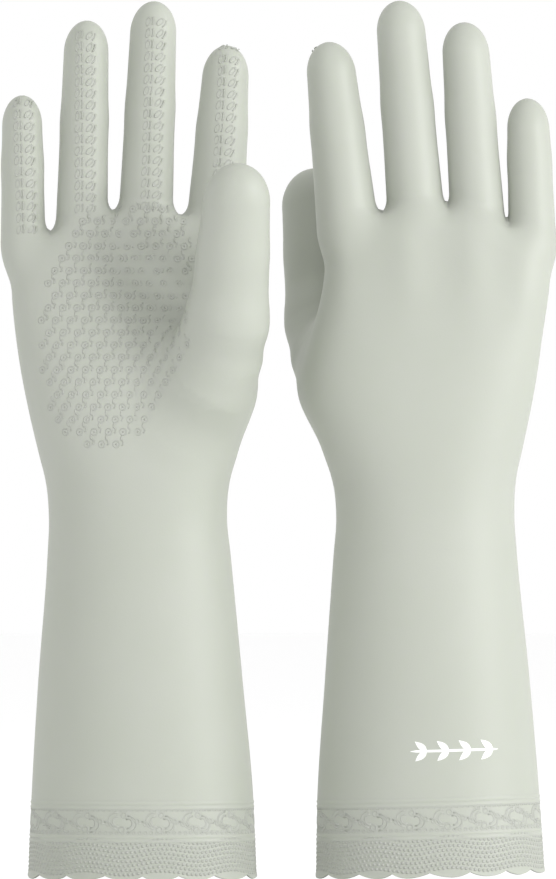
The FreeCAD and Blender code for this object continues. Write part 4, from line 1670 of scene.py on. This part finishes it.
@dataclass
class Sprig:
    """Plain leafy sprig printed on the film."""

    arm: Arm
    x: float
    z: float
    length: float
    leaf_pairs: int = 4
    leaf_length: float = 5.6
    leaf_width: float = 2.3
    leaf_slope: float = 40.0
    leaf_back: float = 2.0
    stem: float = 0.9
    stem_rows: int = 33
    leaf_rows: int = 13
    columns: int = 5
    lift: float = 0.09
    sink: float = 0.15

    def outlines(self) -> list[Array]:
        """Draw the stem and each leaf flat.

        Returns:
            The rows of each, from one end to the other, as x and z of its two sides.
        """
        run = np.linspace(-0.5, 0.5, self.stem_rows)
        half = self.stem / 2 * np.minimum(1.0, (0.5 - np.abs(run)) * 14.0 + 0.15)
        x = self.x + run * self.length
        shapes = [np.stack([x, self.z + half, x, self.z - half], axis=1)]
        run = np.linspace(0.0, 1.0, self.leaf_rows)
        half = self.leaf_width / 2 * np.sin(np.pi * run ** 0.8) + 0.02
        for number in range(self.leaf_pairs):
            start = self.x + self.length * ((number + 0.5) / self.leaf_pairs - 0.5) - self.leaf_back
            for side in (-1.0, 1.0):
                slope = math.radians(self.leaf_slope) * side
                along = np.array([math.cos(slope), math.sin(slope)])
                across = np.array([-along[1], along[0]])
                spine = np.array([start, self.z]) + run[:, None] * self.leaf_length * along
                shapes.append(np.hstack([spine + half[:, None] * across, spine - half[:, None] * across]))
        return shapes

    def patch(self) -> Patch:
        """Closed thin print wrapped on the sleeve.

        Returns:
            Its mesh in glove space.
        """
        whole, *others = (self.printed(shape) for shape in self.outlines())
        for other in others:
            whole = whole.joined(other)
        return whole

    def printed(self, shape: Array) -> Patch:
        """Print one flat outline on the sleeve.

        Args:
            shape: rows of the outline.

        Returns:
            Its closed mesh in glove space.
        """
        rows = len(shape)
        share = np.linspace(0.0, 1.0, self.columns)[None, :, None]
        flat = (shape[:, None, :2] * (1 - share) + shape[:, None, 2:] * share).reshape(-1, 2)
        number = np.arange(rows * self.columns).reshape(rows, self.columns)
        quads = np.stack([number[:-1, :-1], number[:-1, 1:], number[1:, 1:], number[1:, :-1]], axis=-1)
        faces = [tuple(quad) for quad in quads.reshape(-1, 4).tolist()]
        top = self.wrap(flat, self.lift)
        normals = self.wrap(flat, self.lift + 1.0) - top
        one, two, three = faces[0][:3]
        if np.cross(top[two] - top[one], top[three] - top[two]) @ normals[one] < 0:
            faces = [tuple(reversed(face)) for face in faces]
        return Patch(top, faces, normals).shell(self.sink)

    def wrap(self, flat: Array, lift: float) -> Array:
        """Put flat points on the back of the sleeve.

        Args:
            flat: x and z of each point.
            lift: how far the points stand off the film.

        Returns:
            The points in glove space.
        """
        x, z = flat.T
        centre_x, centre_y, half_width, half_depth, _ = self.arm.measures(z)
        share = np.clip((x - centre_x) / half_width, -0.99, 0.99)
        angle = np.arctan2(np.sqrt(1.0 - share ** 2) * half_depth, share * half_width)
        radius = self.arm.radius(angle, z)
        outward = np.stack([np.cos(angle) * half_depth, np.sin(angle) * half_width, angle * 0.0], axis=1)
        outward /= np.linalg.norm(outward, axis=1, keepdims=True)
        film = np.stack([centre_x + radius * np.cos(angle), centre_y + radius * np.sin(angle), z], axis=1)
        return film + outward * lift


# ---------------------------------------------------------------------------------------------------------
# Studio
# ---------------------------------------------------------------------------------------------------------


@dataclass(frozen=True)
class SoftLight:
    """One large soft light that looks at the gloves."""

    name: str
    place: tuple[float, float, float]
    size: float
    power: float

    def build(self, target: Vector) -> None:
        """Hang the light.

        Args:
            target: what it looks at.
        """
        data = bpy.data.lights.new(self.name, "AREA")
        data.shape = "SQUARE"
        data.size = self.size
        data.energy = self.power
        lamp = bpy.data.objects.new(self.name, data)
        lamp.location = self.place
        lamp.rotation_mode = "QUATERNION"
        lamp.rotation_quaternion = (Vector(self.place) - target).to_track_quat("Z", "Y")
        bpy.context.scene.collection.objects.link(lamp)


@dataclass
class Studio:
    """Plain white floor and sky, soft lights and a long lens at the height of the gloves."""

    paper: bpy.types.Material
    lens: float = 500.0
    sensor: float = 36.0
    frame_height: float = 0.3215
    centre_height: float = 0.1603
    floor_drop: float = 0.006
    floor_half: float = 6.0
    sky: float = 1.0
    lights: tuple[SoftLight, ...] = (
        SoftLight("right_softbox", (1.70, -1.15, 0.70), 0.8, 28.0),
        SoftLight("front_fill", (-0.6, -2.4, 0.45), 1.2, 3.0),
    )

    def build(self) -> None:
        """Build the studio round the gloves."""
        self.build_floor()
        target = Vector((0.0, 0.0, self.centre_height))
        for light in self.lights:
            light.build(target)
        world = bpy.data.worlds.new("studio_sky")
        world.use_nodes = True
        background = world.node_tree.nodes["Background"]
        background.inputs[0].default_value = (1.0, 1.0, 1.0, 1.0)
        background.inputs[1].default_value = self.sky
        bpy.context.scene.world = world
        bpy.context.scene.view_settings.view_transform = "Standard"
        data = bpy.data.cameras.new("long_lens")
        data.lens = self.lens
        data.sensor_width = self.sensor
        data.clip_end = 50.0
        camera = bpy.data.objects.new("long_lens", data)
        camera.location = (0.0, -self.frame_height * self.lens / self.sensor, self.centre_height)
        camera.rotation_euler = (math.pi / 2, 0.0, 0.0)
        bpy.context.scene.collection.objects.link(camera)
        bpy.context.scene.camera = camera

    def build_floor(self) -> None:
        """Flat floor, a little below the hems."""
        half = self.floor_half
        corners = ((-half, -half), (half, -half), (half, half), (-half, half))
        mesh = bpy.data.meshes.new("studio_floor")
        mesh.from_pydata([(x, y, -self.floor_drop) for x, y in corners], [], [(0, 1, 2, 3)])
        mesh.materials.append(self.paper)
        floor = bpy.data.objects.new("studio_floor", mesh)
        bpy.context.scene.collection.objects.link(floor)


def main() -> None:
    """Build both gloves and the studio, and note the sizes."""
    logging.basicConfig(level=logging.INFO, format="%(message)s")
    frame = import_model()
    film, ink, paper = SatinFilm().build(), PrintInk().build(), StudioPaper().build()
    Glove(View.PALM, frame, film, ink).build()
    Glove(View.BACK, frame, film, ink, fullness=1.055).build()
    Studio(paper).build()


if __name__ == "__main__":
    main()
